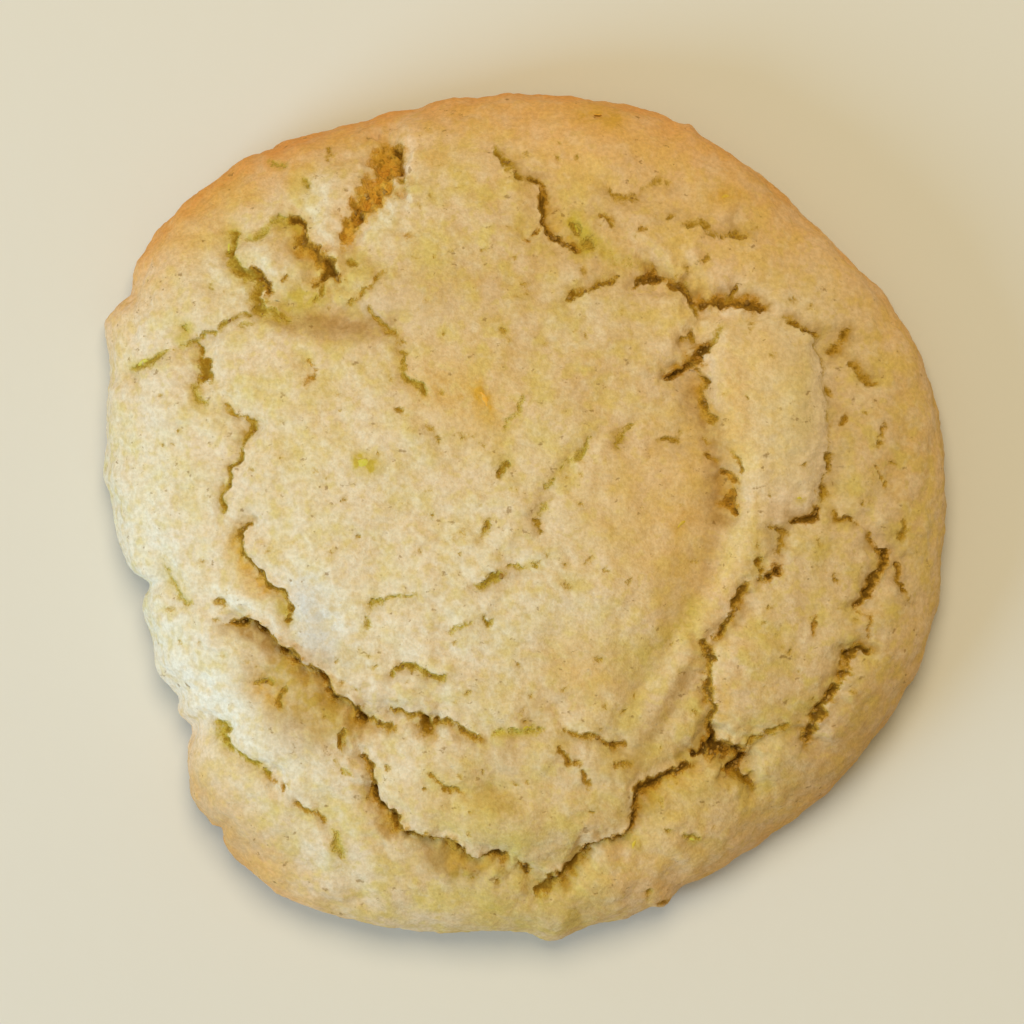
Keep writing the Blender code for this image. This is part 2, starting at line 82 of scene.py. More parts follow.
# Swellings of the crown: x, y, half length, half width, turn in degrees, height and power. Power 2 is a soft bell and
# 4 a plate with a flat top and steep sides.
swellings = {
    "dome": (-5.5, 1.0, 24.0, 22.5, 0, 2.2, 4),
    "domeUpper": (-8.0, 20.0, 12.0, 8.0, 0, 0.5, 2),
    "domeLowerRight": (9.5, -5.0, 7.5, 10.0, -20, 0.5, 2),
    "shoulder": (-26.0, 13.5, 6.0, 5.0, 0, 0.6, 2),
    "upperFold": (-18.0, 19.6, 6.5, 1.8, -10, -1.5, 2),
    "ridge": (23.6, 10.6, 5.8, 10.5, 3, 2.0, 3.2),
    "ridgeFoot": (22.8, -0.5, 2.6, 5.5, 0, 0.6, 2),
    "rightPlate": (26.5, -11.3, 7.5, 10.5, -8, 0.9, 4),
    "farRightPlate": (35.0, -15.0, 3.0, 8.0, -18, 0.4, 2),
    "bottomPlate": (-2.5, -28.0, 13.0, 7.0, 0, 1.6, 4),
    "bottomBulge": (-1.5, -31.0, 5.5, 3.6, 0, 1.2, 2),
    "bottomDimple": (-2.6, -27.0, 2.6, 1.7, 0, -1.1, 2),
    "lowerRightPlate": (17.0, -29.0, 6.5, 4.5, 20, 0.9, 4),
    "lowerLeftLobe": (-29.0, -16.5, 10.5, 5.5, -38, 0.9, 2),
    "bottomLeftLobe": (-24.0, -29.0, 11.0, 6.0, -38, 0.5, 2),
    "riftSide": (-19.0, 31.0, 4.0, 5.5, 15, 0.8, 2),
    "forkBlock": (-25.2, 25.2, 3.6, 3.0, 0, 0.7, 4),
    "leftBlock": (-32.5, 25.5, 4.5, 6.5, -20, 0.5, 2),
    "leftRim": (-35.5, 8.0, 4.0, 12.0, 0, 0.4, 2),
    "topPlate": (-7.0, 32.5, 8.5, 7.0, 0, 0.9, 4),
    "chainPlate": (17.0, 26.6, 6.0, 3.4, -10, 0.6, 4),
    "chainPlateEnd": (25.2, 25.0, 3.6, 3.4, -35, 0.45, 4),
    "hollowPlate": (9.6, 28.6, 4.6, 3.0, -10, 0.5, 4),
    "topRimPlate": (6.0, 37.0, 7.0, 2.8, -6, 0.4, 4),
    "rightPlain": (34.0, 8.5, 3.2, 6.0, -5, 0.45, 4),
    "farRightUpperPlate": (32.6, 21.0, 3.6, 3.0, -50, 0.4, 4),
    "leftPlate": (-35.0, 21.0, 3.8, 3.4, -20, 0.5, 4),
    "leftSpurPlate": (-36.0, 11.5, 2.8, 3.8, 0, 0.45, 4),
    "forkRim": (-25.5, 33.0, 4.8, 3.0, 32, 0.55, 4),
    "lowPlate": (-7.5, -17.7, 8.0, 2.6, -8, 0.5, 4),
    "lowPlateRight": (9.5, -20.0, 5.0, 2.0, 22, 0.4, 4),
    "bottomRimPlate": (4.0, -38.2, 8.0, 2.4, 6, 0.4, 4),
    "bottomLeftPlate": (-15.5, -34.5, 6.0, 3.2, -20, 0.45, 4),
}

# Soft folds: half width, height at each end, and the route.
folds = {
    "valley": (2.0, -2.0, -0.4, (
        (16.5, 13), (17.8, 9), (19.5, 4), (19.6, 0), (18.4, -4), (16.3, -9), (12.5, -16), (8.5, -22.5))),
    "foldCrest": (1.1, 0.5, 0.4, ((-24, 18.6), (-20.5, 16.8), (-17, 16.2), (-13.5, 16.8))),
    "narrowRidge": (1.5, 0.9, 0.5, ((22, -1.5), (21.2, -5), (17.5, -12), (14.5, -17), (11.5, -22))),
    "secondGroove": (1.1, -0.5, -0.3, ((18, -12.5), (15.5, -17.5), (12.5, -23.0))),
    "ridgeStep": (1.0, -0.9, -0.7, ((30.0, 17), (30.6, 8), (30.4, 2.5))),
    "leftGroove": (1.5, -0.5, -0.5, ((-37, -4), (-34.5, -8), (-33, -9))),
    "leftSlopeGroove": (1.3, -0.5, -0.6, ((-31, -20), (-28, -24), (-24.5, -27))),
    "plateHollow": (1.6, -1.0, -0.7, ((5, -35), (1.4, -38.0))),
    "bottomLeftGroove": (1.2, -0.3, -0.5, ((-21, -26), (-18.5, -31), (-16.5, -38))),
}

# Cracks: tone of the crumb inside (0 olive, 0.5 golden, 1 dark brown, partly painted shade deep in a crack), depth,
# how far the crust stands up to the left of the route and to its right, and the route, with the crack's width at each
# of its points.
cracks = {
    "riftTop": (0.75, 1.0, 0.4, 0.4, ((-15.1, 36.0, 2.1), (-13.9, 36.1, 2.3), (-12.9, 35.9, 2.0))),
    "rift": (0.75, 1.1, 0.4, 0.4, (
        (-14.0, 35.2, 3.0), (-14.2, 33.4, 2.8), (-14.9, 32.5, 3.0), (-15.8, 31.4, 2.6), (-16.6, 30.6, 2.0),
        (-17.4, 29.4, 1.6), (-18.0, 28.2, 1.1), (-18.3, 27.4, 0.6))),
    "riftCorner": (0.9, 0.9, 0, 0, ((-13.4, 36.6, 0.7), (-12.7, 36.4, 1.3), (-12.5, 35.4, 1.1), (-12.8, 34.7, 0.7))),
    "riftSpot": (0.9, 0.8, 0, 0, ((-14.3, 34.6, 0.5), (-13.9, 34.2, 0.6))),
    "riftMiddle": (0.9, 0.9, 0, 0, ((-15.1, 32.0, 0.8), (-14.3, 31.8, 1.3), (-13.6, 31.9, 0.9))),
    "riftLower": (0.95, 0.9, 0, 0, (
        (-17.4, 31.0, 0.9), (-16.9, 30.6, 1.0), (-16.2, 30.3, 0.7), (-17.3, 29.4, 0.9), (-17.9, 28.1, 0.7))),
    "riftOlive": (0.1, 0.5, 0, 0, ((-12.5, 33.6, 0.9), (-12.4, 32.9, 0.8))),
    "forkA": (0.85, 1.2, 0.4, -0.3, (
        (-23.6, 29.5, 0.6), (-22.8, 29.6, 0.7), (-22.2, 29.1, 0.8), (-22.1, 28.2, 0.7), (-22.3, 27.5, 1.5),
        (-21.8, 26.9, 1.4), (-20.9, 26.4, 1.4), (-20.4, 25.6, 1.1), (-19.6, 25.1, 1.2), (-19.5, 24.4, 0.9),
        (-18.9, 23.9, 0.6), (-18.5, 23.3, 0.8))),
    "forkSpur": (0.8, 0.9, 0, 0, ((-19.7, 24.3, 0.8), (-20.4, 23.7, 0.6), (-20.9, 23, 0.3))),
    "forkTail": (0.3, 0.5, 0, 0, ((-20.3, 22.9, 0.3), (-20.3, 22, 0.5), (-20.9, 21.3, 0.4))),
    "forkDot": (0.6, 0.6, 0, 0, ((-23.4, 27.3, 0.5), (-22.9, 27.2, 0.4))),
    "forkDotUpper": (0.05, 0.3, 0, 0, ((-22.2, 33.2, 0.5), (-22, 32.8, 0.5))),
    "forkRimMark": (0.05, 0.25, 0, 0, ((-25.5, 35.1, 0.5), (-24.8, 34.8, 0.5), (-24.2, 34.9, 0.4))),
    "leftBlockDot": (0.05, 0.3, 0, 0, ((-31.8, 22.9, 0.5), (-31.4, 22.5, 0.4))),
    "forkPit": (0.4, 0.7, 0, 0.1, ((-17.8, 25.3, 0.8), (-17.1, 25.2, 0.6))),
    "forkGroove": (0, 0.3, 0, 0, (
        (-27.5, 27.6, 0.6), (-26.6, 27.8, 0.6), (-25.9, 28.3, 0.6), (-25.3, 29.1, 0.4), (-24.7, 29.6, 0.5),
        (-23.7, 29.3, 0.6))),
    "forkB": (0.3, 0.85, 0.4, -0.2, (
        (-29.6, 28.3, 0.4), (-28.9, 28.3, 0.6), (-29.3, 27.4, 0.6), (-29.1, 26.2, 0.6), (-29, 25.2, 0.8),
        (-28.5, 24.6, 0.9), (-27.6, 24.1, 0.8), (-26.9, 23.7, 0.7), (-26.9, 22.9, 0.7), (-26.7, 22, 0.9),
        (-26.3, 21, 1.1), (-25.6, 20.4, 0.9), (-24.9, 20, 0.7), (-24.2, 19.6, 0.5), (-23.6, 19.2, 0.4))),
    "forkBSide": (0.95, 0.9, 0, 0, ((-27.2, 24.4, 0.3), (-26.7, 23.5, 0.4), (-26.1, 23, 0.7), (-25.8, 22.4, 0.4))),
    "forkBlockDot": (0.8, 0.5, 0, 0, ((-24.3, 23.6, 0.4), (-24, 23.9, 0.4))),
    "foldLine": (0.6, 0.6, 0.1, 0, (
        (-18, 21.1, 0.4), (-17.2, 21.6, 0.5), (-16.6, 22.3, 0.5), (-16, 22.8, 0.3), (-15.3, 23, 0.35),
        (-14.9, 23.7, 0.6), (-14.4, 24, 0.5))),
    "leftSeam": (0.25, 0.55, 0.2, -0.1, (
        (-39.3, 14.8, 0.3), (-37.8, 15.4, 0.5), (-36.3, 16.1, 0.3), (-34.3, 16.9, 0.4), (-33.2, 17.2, 0.3),
        (-32.3, 17.8, 0.4), (-31.2, 18.3, 0.5), (-30.3, 19, 0.6), (-29.4, 19.6, 0.3), (-28.4, 20.1, 0.25),
        (-27.4, 20.4, 0.2))),
    "leftSeamBlob": (0, 0.3, 0, 0, ((-34, 18.7, 0.9), (-33.7, 18.1, 0.9))),
    "leftSeamDash": (0.1, 0.24, 0, 0, ((-28.5, 18.8, 0.4), (-27.4, 19.2, 0.4))),
    "leftSpur": (0.45, 1.0, 0.2, 0, (
        (-32.6, 17, 0.3), (-32.6, 16.1, 0.4), (-32, 15.4, 0.6), (-31.9, 14.6, 0.8), (-32.2, 13.7, 0.7),
        (-32.8, 13.1, 0.5))),
    "leftSpurEnd": (0.1, 0.3, 0, 0, (
        (-33.3, 12.8, 0.6), (-32.9, 12.2, 0.7), (-32.6, 11.6, 0.5), (-32.1, 11.2, 0.3))),
    "domeLeftTop": (0.51, 0.7, 0.1, 0, (
        (-30, 10.8, 0.4), (-29.6, 10.3, 0.4), (-29.1, 9.9, 0.25), (-27.8, 9.6, 0.25), (-27.1, 9.2, 0.4))),
    "domeLeft": (0.36, 0.9, 0.4, -0.1, (
        (-27.3, 8.8, 0.3), (-27.9, 8.1, 0.35), (-28.2, 7.2, 0.5), (-28.3, 6.3, 0.5), (-28.5, 5.6, 0.4),
        (-29.1, 5, 0.2), (-29.6, 4.4, 0.3), (-29.2, 3.7, 0.5), (-29.6, 3, 0.4), (-30, 2, 0.4), (-30.1, 0.9, 0.4),
        (-30.2, 0.1, 0.2))),
    "domeLowerLeft": (0.7, 1.1, 0.7, -0.3, (
        (-27.4, -0.8, 0.25), (-28, -1.3, 0.3), (-28.5, -1.7, 0.6), (-28.5, -2.5, 0.7), (-28.3, -3.3, 0.5),
        (-27.9, -4, 0.6), (-27.6, -4.7, 0.5), (-27, -5.3, 0.35), (-26.2, -6, 0.4), (-25.9, -6.7, 0.3),
        (-25, -7.2, 0.4), (-24.2, -7.2, 0.7), (-23.7, -8, 0.6), (-23.4, -9.2, 0.5), (-23.2, -10.4, 0.3))),
    "mainSeam": (0.85, 1.6, 1.3, -0.9, (
        (-29.8, -10.8, 0.3), (-28.9, -10.5, 0.5), (-27.9, -10.3, 0.6), (-27, -10.7, 0.8), (-26.3, -11.3, 1.0),
        (-25.4, -12.2, 1.2), (-24.6, -13, 1.4), (-23.9, -13.8, 1.5), (-23.1, -14.2, 1.6), (-22.2, -14.6, 1.6),
        (-21.5, -15, 1.2), (-20.7, -15.1, 0.9), (-20, -15.9, 0.9), (-19.6, -16.6, 1.1), (-19.4, -17.3, 1.2),
        (-19.1, -17.9, 0.8), (-18, -18.3, 0.4), (-17.3, -19, 0.5), (-16.8, -19.7, 1.0), (-16.3, -20.3, 0.9))),
    "mainSeamEnd": (0.7, 0.9, 0.6, -0.3, (
        (-16.3, -20.3, 0.6), (-15.6, -20.5, 0.3), (-14.7, -20.6, 0.6), (-13.9, -20.8, 0.6), (-12.9, -21.1, 0.4))),
    "slopeMarkTop": (0.3, 0.5, 0, 0, ((-27.4, -16.7, 0.3), (-26.5, -16.6, 0.4), (-25.3, -16.7, 0.3))),
    "slopeMark": (0.65, 0.7, 0, 0, (
        (-24.2, -17.3, 0.4), (-24.6, -17.7, 0.4), (-24.9, -18.2, 0.3), (-24.6, -18.8, 0.6), (-24.4, -19.2, 0.3))),
    "smallLeft": (0.7, 0.8, 0, 0.2, (
        (-17.9, -21.4, 0.3), (-18.5, -21.9, 0.4), (-18.6, -22.7, 0.5), (-18.4, -23.3, 0.3))),
    "lowerSeam": (0.7, 0.9, 0.6, -0.2, (
        (-13.6, -19.3, 0.25), (-12.6, -19.5, 0.3), (-11.9, -19.8, 0.5), (-10.8, -20.1, 0.35), (-10.1, -20.7, 0.8))),
    "lowerSeamBlob": (0.5, 0.9, 0, 0, ((-10.2, -20.6, 0.8), (-9.9, -21.2, 0.8))),
    "lowerSeamMiddle": (0.7, 0.9, 0.5, -0.2, (
        (-9.6, -20.6, 0.4), (-8.8, -20.3, 0.5), (-7.9, -20.2, 0.5), (-6.9, -20.5, 0.5), (-6.4, -20.9, 0.5),
        (-6, -21.5, 0.5), (-5.2, -21.8, 0.35), (-4.4, -21.9, 0.3))),
    "lowerSeamOlive": (0, 0.3, 0.4, -0.2, (
        (-3.2, -21.9, 0.5), (-2, -21.3, 0.6), (-1, -21.4, 0.8), (0.5, -21.1, 0.9), (1.6, -21.4, 0.4))),
    "lowerSeamRight": (0.75, 0.7, 0.4, -0.1, (
        (3.9, -21.1, 0.25), (4.6, -21.4, 0.3), (5.1, -21.9, 0.35), (6.2, -21.9, 0.5), (6.8, -21.8, 0.45),
        (7.4, -22.2, 0.35), (8.1, -22.4, 0.4), (8.7, -22.7, 0.6), (9.7, -22.2, 0.25))),
    "domeTop": (0.55, 0.55, 0.15, 0, (
        (-15.5, 21, 0.15), (-15.2, 20.3, 0.15), (-14.6, 19.4, 0.2), (-14, 18.8, 0.3), (-13.3, 18.1, 0.3),
        (-12.7, 17.5, 0.35), (-12.2, 17.3, 0.35), (-11.8, 17.2, 0.35))),
    "domeTopHook": (0.33, 0.8, 0.2, 0, (
        (-12.5, 16.4, 0.25), (-11.9, 15.9, 0.35), (-12, 15.2, 0.55), (-12.2, 14.5, 0.6), (-12.1, 14, 0.55),
        (-11.6, 13.7, 0.45), (-11, 13.4, 0.35), (-10.5, 13.1, 0.3), (-10.1, 12.6, 0.45))),
    "shoulderLine": (0.8, 0.5, 0.1, 0, ((-21.7, 15.4, 0.3), (-21.5, 15, 0.2))),
    "shoulderTail": (0.8, 0.4, 0, 0, ((-20.9, 14.6, 0.25), (-21.3, 13.6, 0.3), (-21.6, 12.7, 0.25))),
    "topCrackUpper": (0.4, 0.8, 0, 0.3, (
        (-3, 36.4, 0.35), (-2.9, 35.9, 0.25), (-2.4, 35.4, 0.5), (-1.9, 34.9, 0.75), (-1.7, 34.4, 0.8),
        (-1.2, 33.9, 0.45), (-0.7, 33.3, 0.3))),
    "topCrack": (0.85, 1.1, -0.3, 0.4, (
        (0.1, 33.5, 0.25), (0.7, 33.3, 0.35), (1.1, 32.9, 0.45), (1.3, 32.2, 0.4), (1.5, 31.6, 0.6),
        (1.6, 30.9, 0.8), (1.6, 30.3, 0.7), (1.4, 29.7, 0.4), (1.4, 29.1, 0.4), (1.7, 28.6, 0.45), (2.1, 28.1, 0.6),
        (2.7, 27.6, 0.5), (3.6, 27.2, 0.4), (4.3, 26.8, 0.5), (5, 26.3, 0.5))),
    "hollow": (0.3, 0.6, 0, 0, ((4.4, 29.2, 0.6), (5.0, 28.5, 1.6), (5.6, 27.8, 1.4), (6.3, 27, 0.7))),
    "hollowBand": (0.1, 0.1, 0, 0, ((6.6, 27, 1.6), (8.6, 25.7, 1.9), (10.8, 25.0, 1.2))),
    "topCrackSpur": (0.9, 0.7, 0, 0, ((1, 28.2, 0.25), (0.7, 27.9, 0.45), (0.3, 27.6, 0.3), (-0.1, 27.4, 0.5))),
    "chainLeft": (0.65, 0.8, 0, 0.3, (
        (4.1, 21.3, 0.2), (4.6, 21.6, 0.35), (5.1, 21.9, 0.4), (5.8, 22.2, 0.25), (6.6, 22.5, 0.35),
        (7.2, 22.8, 0.8), (7.9, 23.3, 0.5), (8.5, 23.6, 0.6), (9.1, 23.9, 0.25))),
    "chainPit": (0.9, 1.3, 0, 0.2, (
        (10.7, 23.1, 0.4), (11.7, 23.5, 0.8), (12.5, 23.8, 1.3), (13.2, 23.8, 0.8), (13.6, 23.7, 0.3))),
    "chainPitTop": (0.9, 0.8, 0, 0, ((12.6, 24.2, 0.9), (12.9, 24.8, 0.3))),
    "chain": (0.9, 1.4, -0.4, 0.9, (
        (14.2, 23.2, 0.5), (14.9, 22.9, 0.6), (15.8, 22.4, 0.7), (16.5, 21.9, 0.9), (17.1, 21.4, 1.2),
        (17.9, 21.1, 0.9), (18.7, 21.3, 1.0), (19.5, 21.2, 1.1), (20.5, 21.3, 1.4), (21.4, 21.2, 1.2),
        (22.5, 21.1, 1.1), (23.5, 20.8, 0.5))),
    "chainSpur": (0.5, 0.7, 0, 0, ((20.1, 21.7, 0.7), (20.7, 22.3, 0.4), (21.2, 22.9, 0.3))),
    "chainDrop": (0.4, 0.7, 0, 0.3, ((16.9, 21.2, 0.8), (16.8, 20.2, 0.6))),
    "chainTop": (0.3, 0.5, 0, 0, ((16.2, 22.9, 0.5), (16.6, 22.1, 0.6))),
    "rightUpper": (0.6, 0.9, 0, 0.3, (
        (26.2, 19.1, 0.4), (26.8, 18.9, 0.8), (27.3, 18.4, 0.6), (28, 18.4, 0.35), (28.9, 18.5, 0.3),
        (29.3, 18.1, 0.3))),
    "farRightUpper": (0.7, 0.7, 0, 0.2, ((32.2, 18.5, 0.6), (32, 17.8, 0.8), (31.3, 17, 0.6), (30.7, 16.3, 0.7))),
    "farRightLine": (0.7, 0.6, 0, 0.2, (
        (32.1, 15.2, 0.4), (32.7, 14.9, 0.5), (33.3, 14.2, 0.4), (34.2, 13.5, 0.6), (34.9, 13.4, 0.2))),
    "farRightPit": (0.7, 0.6, 0, 0, ((32.1, 9.6, 0.5), (31.8, 9.2, 0.5), (31.4, 8.9, 0.3))),
    "ridgePit": (0.6, 0.9, 0.2, 0, ((15.4, 17.5, 0.3), (16.1, 17.7, 0.7), (16.6, 17.6, 0.5))),
    "ridgePitTop": (0.6, 0.6, 0, 0, ((16.3, 18, 0.6), (16.3, 18.5, 0.3))),
    "ridgeTopHair": (0.3, 0.4, 0, 0, (
        (19.3, 18.9, 0.25), (19.1, 17.5, 0.4), (18.5, 16.8, 0.3), (18.2, 16.3, 0.3))),
    "ridgeTop": (0.95, 1.2, 0.15, 0, (
        (18.1, 16.4, 0.5), (17.5, 16.1, 1.1), (17.0, 15.6, 2.0), (16.5, 15.0, 2.3), (15.9, 14.5, 1.6),
        (15.2, 14.1, 1.1), (14.5, 13.8, 0.7))),
    "ridgeSide": (0.75, 0.7, 0.1, 0, (
        (17.4, 13.7, 0.3), (17.9, 13.2, 0.6), (17.7, 12.6, 0.4), (17.2, 12.3, 0.5), (17.5, 11.7, 0.5),
        (17.6, 11.1, 0.6), (18, 10.6, 0.6), (18.3, 10.1, 0.6), (18.9, 9.8, 0.4), (18.4, 9.5, 0.7))),
    "ridgeFootLine": (0.7, 0.5, 0, 0, ((20.6, 6, 0.4), (20.9, 5.7, 0.4), (21.2, 5.1, 0.25), (21.5, 4.5, 0.3))),
    "valleySpot": (0.7, 0.5, 0, 0, ((18.1, 5.8, 0.4), (18.5, 5.5, 0.5))),
    "valleySpotUpper": (0.6, 0.4, 0, 0, ((17.5, 7.6, 0.4), (18.1, 7.3, 0.5))),
    "ridgeHoleUpper": (0.85, 0.9, 0, 0, (
        (19.6, 4.1, 0.3), (20.2, 4, 0.3), (20.6, 3.5, 0.7), (21.1, 3.2, 0.4))),
    "ridgeHole": (0.85, 1.1, 0, 0, ((20.1, 2, 0.5), (20.1, 1.3, 0.9), (20.4, 0.9, 0.4), (21, 0.6, 0.6))),
    "domeRight": (0.1, 0.4, 0.1, 0, (
        (7, 8.1, 0.35), (6.4, 7.9, 0.35), (6.2, 7.3, 0.35), (6, 6.7, 0.6), (5.5, 6.1, 0.8), (4.9, 5.6, 0.8),
        (4.4, 5.5, 0.7))),
    "domeRightMiddle": (0.15, 0.38, 0.1, 0, (
        (3.8, 4.8, 0.2), (3.1, 4.4, 0.6), (2.7, 3.8, 0.6), (2.2, 3.2, 0.5), (1.8, 2.5, 0.3))),
    "domeRightLower": (0.1, 0.4, 0.1, 0, ((2.4, 1.5, 0.3), (1.8, 1.1, 0.4), (1.3, 0.4, 0.2))),
    "domeRightTail": (0.36, 0.6, 0.1, 0, ((0.9, -0.2, 0.3), (1.2, -0.6, 0.4), (1.1, -1.2, 0.3), (1.2, -1.7, 0.3))),
    "domeRightTop": (0.3, 0.5, 0.2, 0, (
        (10.7, 9.2, 0.4), (10.4, 8.6, 0.5), (9.8, 8.1, 0.7), (9.3, 7.5, 0.8), (9.2, 6.9, 0.4))),
    "domeFarRight": (0.45, 0.6, 0.1, 0, (
        (12.9, 7, 0.4), (13.4, 7.4, 0.5), (13.8, 7.6, 0.3), (14.4, 7.7, 0.45), (14.8, 7.6, 0.45), (15.1, 7.3, 0.3))),
    "domeFarTail": (0.3, 0.4, 0, 0, ((15.2, 8, 0.25), (15.7, 8.5, 0.35))),
    "domeMiddleTop": (0.12, 0.3, 0, 0, (
        (-0.5, 11.7, 0.5), (-0.8, 10.9, 0.6), (-0.8, 10.3, 0.5), (-1.6, 9.8, 0.45), (-2.1, 9, 0.35),
        (-2.3, 8.3, 0.25))),
    "domeMiddle": (0.3, 0.7, 0, 0, ((-2.2, 5.2, 0.4), (-2.4, 4.7, 0.4), (-2.6, 4.1, 0.5))),
    "domeMiddleLow": (0.3, 0.6, 0, 0, ((-3.8, -0.5, 0.3), (-3.8, -1.2, 0.5), (-4.1, -1.8, 0.3))),
    "domeLeftSpot": (0.42, 0.6, 0, 0, ((-12.8, 10.7, 0.4), (-12.3, 10.2, 0.3))),
    "domeUpperHair": (0.42, 0.5, 0.1, 0, (
        (-10.1, 9, 0.25), (-9.7, 8.7, 0.35), (-9.3, 8.4, 0.3), (-8.9, 7.8, 0.25), (-8.7, 7.4, 0.3))),
    "domeUpperDash": (0.42, 0.4, 0, 0, ((-7, 8, 0.2), (-6.3, 7.9, 0.35), (-5.3, 8, 0.2))),
    "domeLowLeft": (0.09, 0.36, 0.1, 0, (
        (-15.4, -8.9, 0.3), (-14.9, -8.2, 0.5), (-14.2, -8, 0.5), (-13.6, -7.6, 0.6), (-12.9, -7.8, 0.4),
        (-11.6, -7.7, 0.25), (-10.2, -7.8, 0.2))),
    "domeLowMark": (0.12, 0.3, 0, 0, ((-15.5, -10, 0.2), (-15.6, -10.6, 0.4), (-15.9, -11.1, 0.25))),
    "domeLow": (0.18, 0.8, 0.1, 0, ((-5.3, -7, 0.25), (-4.1, -6.9, 0.6), (-3.5, -6.4, 0.8), (-2.8, -5.8, 0.6))),
    "domeLowRight": (0.18, 0.6, 0.1, 0, ((-1.9, -5, 0.3), (-1, -5, 0.4), (-0.4, -5.2, 0.3))),
    "domeLowEnd": (0.18, 0.5, 0, 0, ((0.1, -4.5, 0.3), (0.6, -4.8, 0.4), (1.1, -5.1, 0.25))),
    "domeLowMiddle": (0.12, 0.3, 0.1, 0, ((-7.3, -11.2, 0.3), (-6.3, -10.9, 0.4), (-5.4, -10.5, 0.3))),
    "domeLowMiddleEnd": (0.24, 0.6, 0, 0, ((-4.1, -10.3, 0.35), (-3.8, -10.8, 0.5), (-3.3, -10.2, 0.25))),
    "domeLowest": (0.24, 0.8, 0.2, 0, (
        (-13.4, -15.3, 0.5), (-12.5, -14.8, 0.6), (-11.7, -14.9, 0.5), (-10.8, -15, 0.45), (-10.1, -15.4, 0.35),
        (-9.6, -15.9, 0.5), (-8.8, -16, 0.8), (-8.2, -15.5, 0.3))),
    "plateRimTop": (0.8, 0.9, 0.3, -0.2, (
        (-16.3, -24.2, 0.4), (-15.7, -24.9, 0.45), (-15.5, -25.7, 0.45), (-15.1, -26.7, 0.4), (-15.3, -27.3, 0.6))),
    "plateRimLeft": (0.85, 1.4, 0.7, -0.5, (
        (-15.3, -27.3, 0.6), (-15, -28, 0.9), (-14.4, -28.8, 0.8), (-13.5, -29.5, 0.9), (-13.1, -30.2, 1.3),
        (-12.9, -31, 1.8), (-12, -31.4, 1.1), (-11, -31.6, 0.8), (-10, -31.9, 0.9), (-9.3, -32.4, 0.8),
        (-8.4, -32.5, 0.6), (-7.3, -32.9, 1.0), (-6.6, -33.4, 1.2), (-6, -33.9, 0.8), (-5, -34.1, 0.4),
        (-4, -34, 0.4), (-3.1, -34.2, 0.8), (-2.4, -34.6, 0.6))),
    "plateRimLow": (0.85, 0.9, 0.5, -0.3, ((-0.7, -35, 0.4), (0, -35.4, 0.7), (0.2, -35.9, 0.4))),
    "plateRimFoot": (0.7, 1.1, 0.5, -0.5, (
        (1.3, -37.5, 0.6), (2, -37, 0.9), (3, -36.2, 1.1), (4, -35.3, 1.0), (5.2, -34.3, 0.5))),
    "plateRimRight": (0.9, 1.3, 0.7, -0.5, (
        (5.6, -33.8, 0.4), (6.4, -32.9, 0.7), (7.3, -32.5, 0.5), (8.4, -32.3, 0.45), (9.4, -31.9, 0.6),
        (10, -31.5, 0.7), (10.4, -30.9, 0.6), (10.6, -30, 0.6), (10.8, -29, 0.7), (11, -28.2, 0.9),
        (11.4, -27.3, 1.3), (12.3, -26.7, 1.3), (13.3, -26, 0.9), (14.2, -25.4, 0.5), (15.2, -25.3, 0.5),
        (16, -24.8, 0.5))),
    "plateTopDash": (0.5, 0.5, 0, 0, ((8.9, -24.7, 0.4), (9.8, -24.5, 0.5), (10.2, -25, 0.3))),
    "plateLine": (0.7, 0.6, 0, 0, (
        (3.3, -22.9, 0.45), (3.6, -23.5, 0.3), (4.1, -24.3, 0.35), (4.4, -24.7, 0.35), (5, -24.8, 0.3))),
    "plateLineEnd": (0.7, 0.5, 0, 0, ((5.6, -25.6, 0.3), (6.1, -26.3, 0.35), (6.6, -26.4, 0.3))),
    "plateLineLeft": (0.6, 0.5, 0, 0, (
        (-9.5, -25.7, 0.4), (-9, -26.3, 0.2), (-8.1, -26.8, 0.2), (-7.5, -27, 0.35), (-6.6, -27.3, 0.7))),
    "plateSideDash": (0.2, 0.24, 0, 0, ((-19.3, -24.2, 0.4), (-18.6, -24.9, 0.3), (-17.6, -25.6, 0.4))),
    "ridgeEdgeDots": (0.5, 0.6, 0, 0, ((30.1, 12.6, 0.5), (30.5, 11.9, 0.3))),
    "ridgeEdgeMark": (0.4, 0.6, 0, 0, ((29.8, 6.2, 0.3), (30.1, 5.4, 0.5), (30.2, 4.6, 0.4))),
    "ridgeEdge": (0.35, 0.15, -0.15, 0.2, (
        (25.6, 19.6, 0.25), (27.2, 19.0, 0.3), (28.9, 18.0, 0.3), (29.7, 15.5, 0.25), (29.6, 12.5, 0.3),
        (30, 9.5, 0.3), (29.9, 6.5, 0.25), (30.2, 4.2, 0.3), (29.6, 2, 0.25))),
    "rightPlatePit": (0.55, 0.9, 0, 0, ((23.2, -4.7, 0.7), (23.4, -5.8, 0.7))),
    "rightPlatePitDark": (0.95, 1.4, 0, 0, ((24.2, -6, 0.6), (24.8, -5.6, 1.1), (25.1, -6.1, 0.5))),
    "rightPlateLeft": (0.8, 1.1, 0, 0.3, (
        (22, -7, 0.5), (21.6, -7.7, 0.6), (21.1, -8.5, 0.8), (20.5, -9.5, 0.5), (20.2, -10.4, 0.6),
        (19.4, -11.4, 0.5), (18.9, -12, 0.5))),
    "rightPlateLowerLeft": (0.8, 1.1, 0.6, -0.3, (
        (17.8, -12.3, 0.7), (18.2, -13, 1.0), (18.4, -13.7, 0.9), (18.6, -14.8, 0.6), (18.3, -16, 0.7),
        (18.2, -17, 0.9), (18.4, -18, 0.9), (18.7, -19.2, 0.7), (18.4, -20.5, 0.4), (18.2, -21.4, 0.4))),
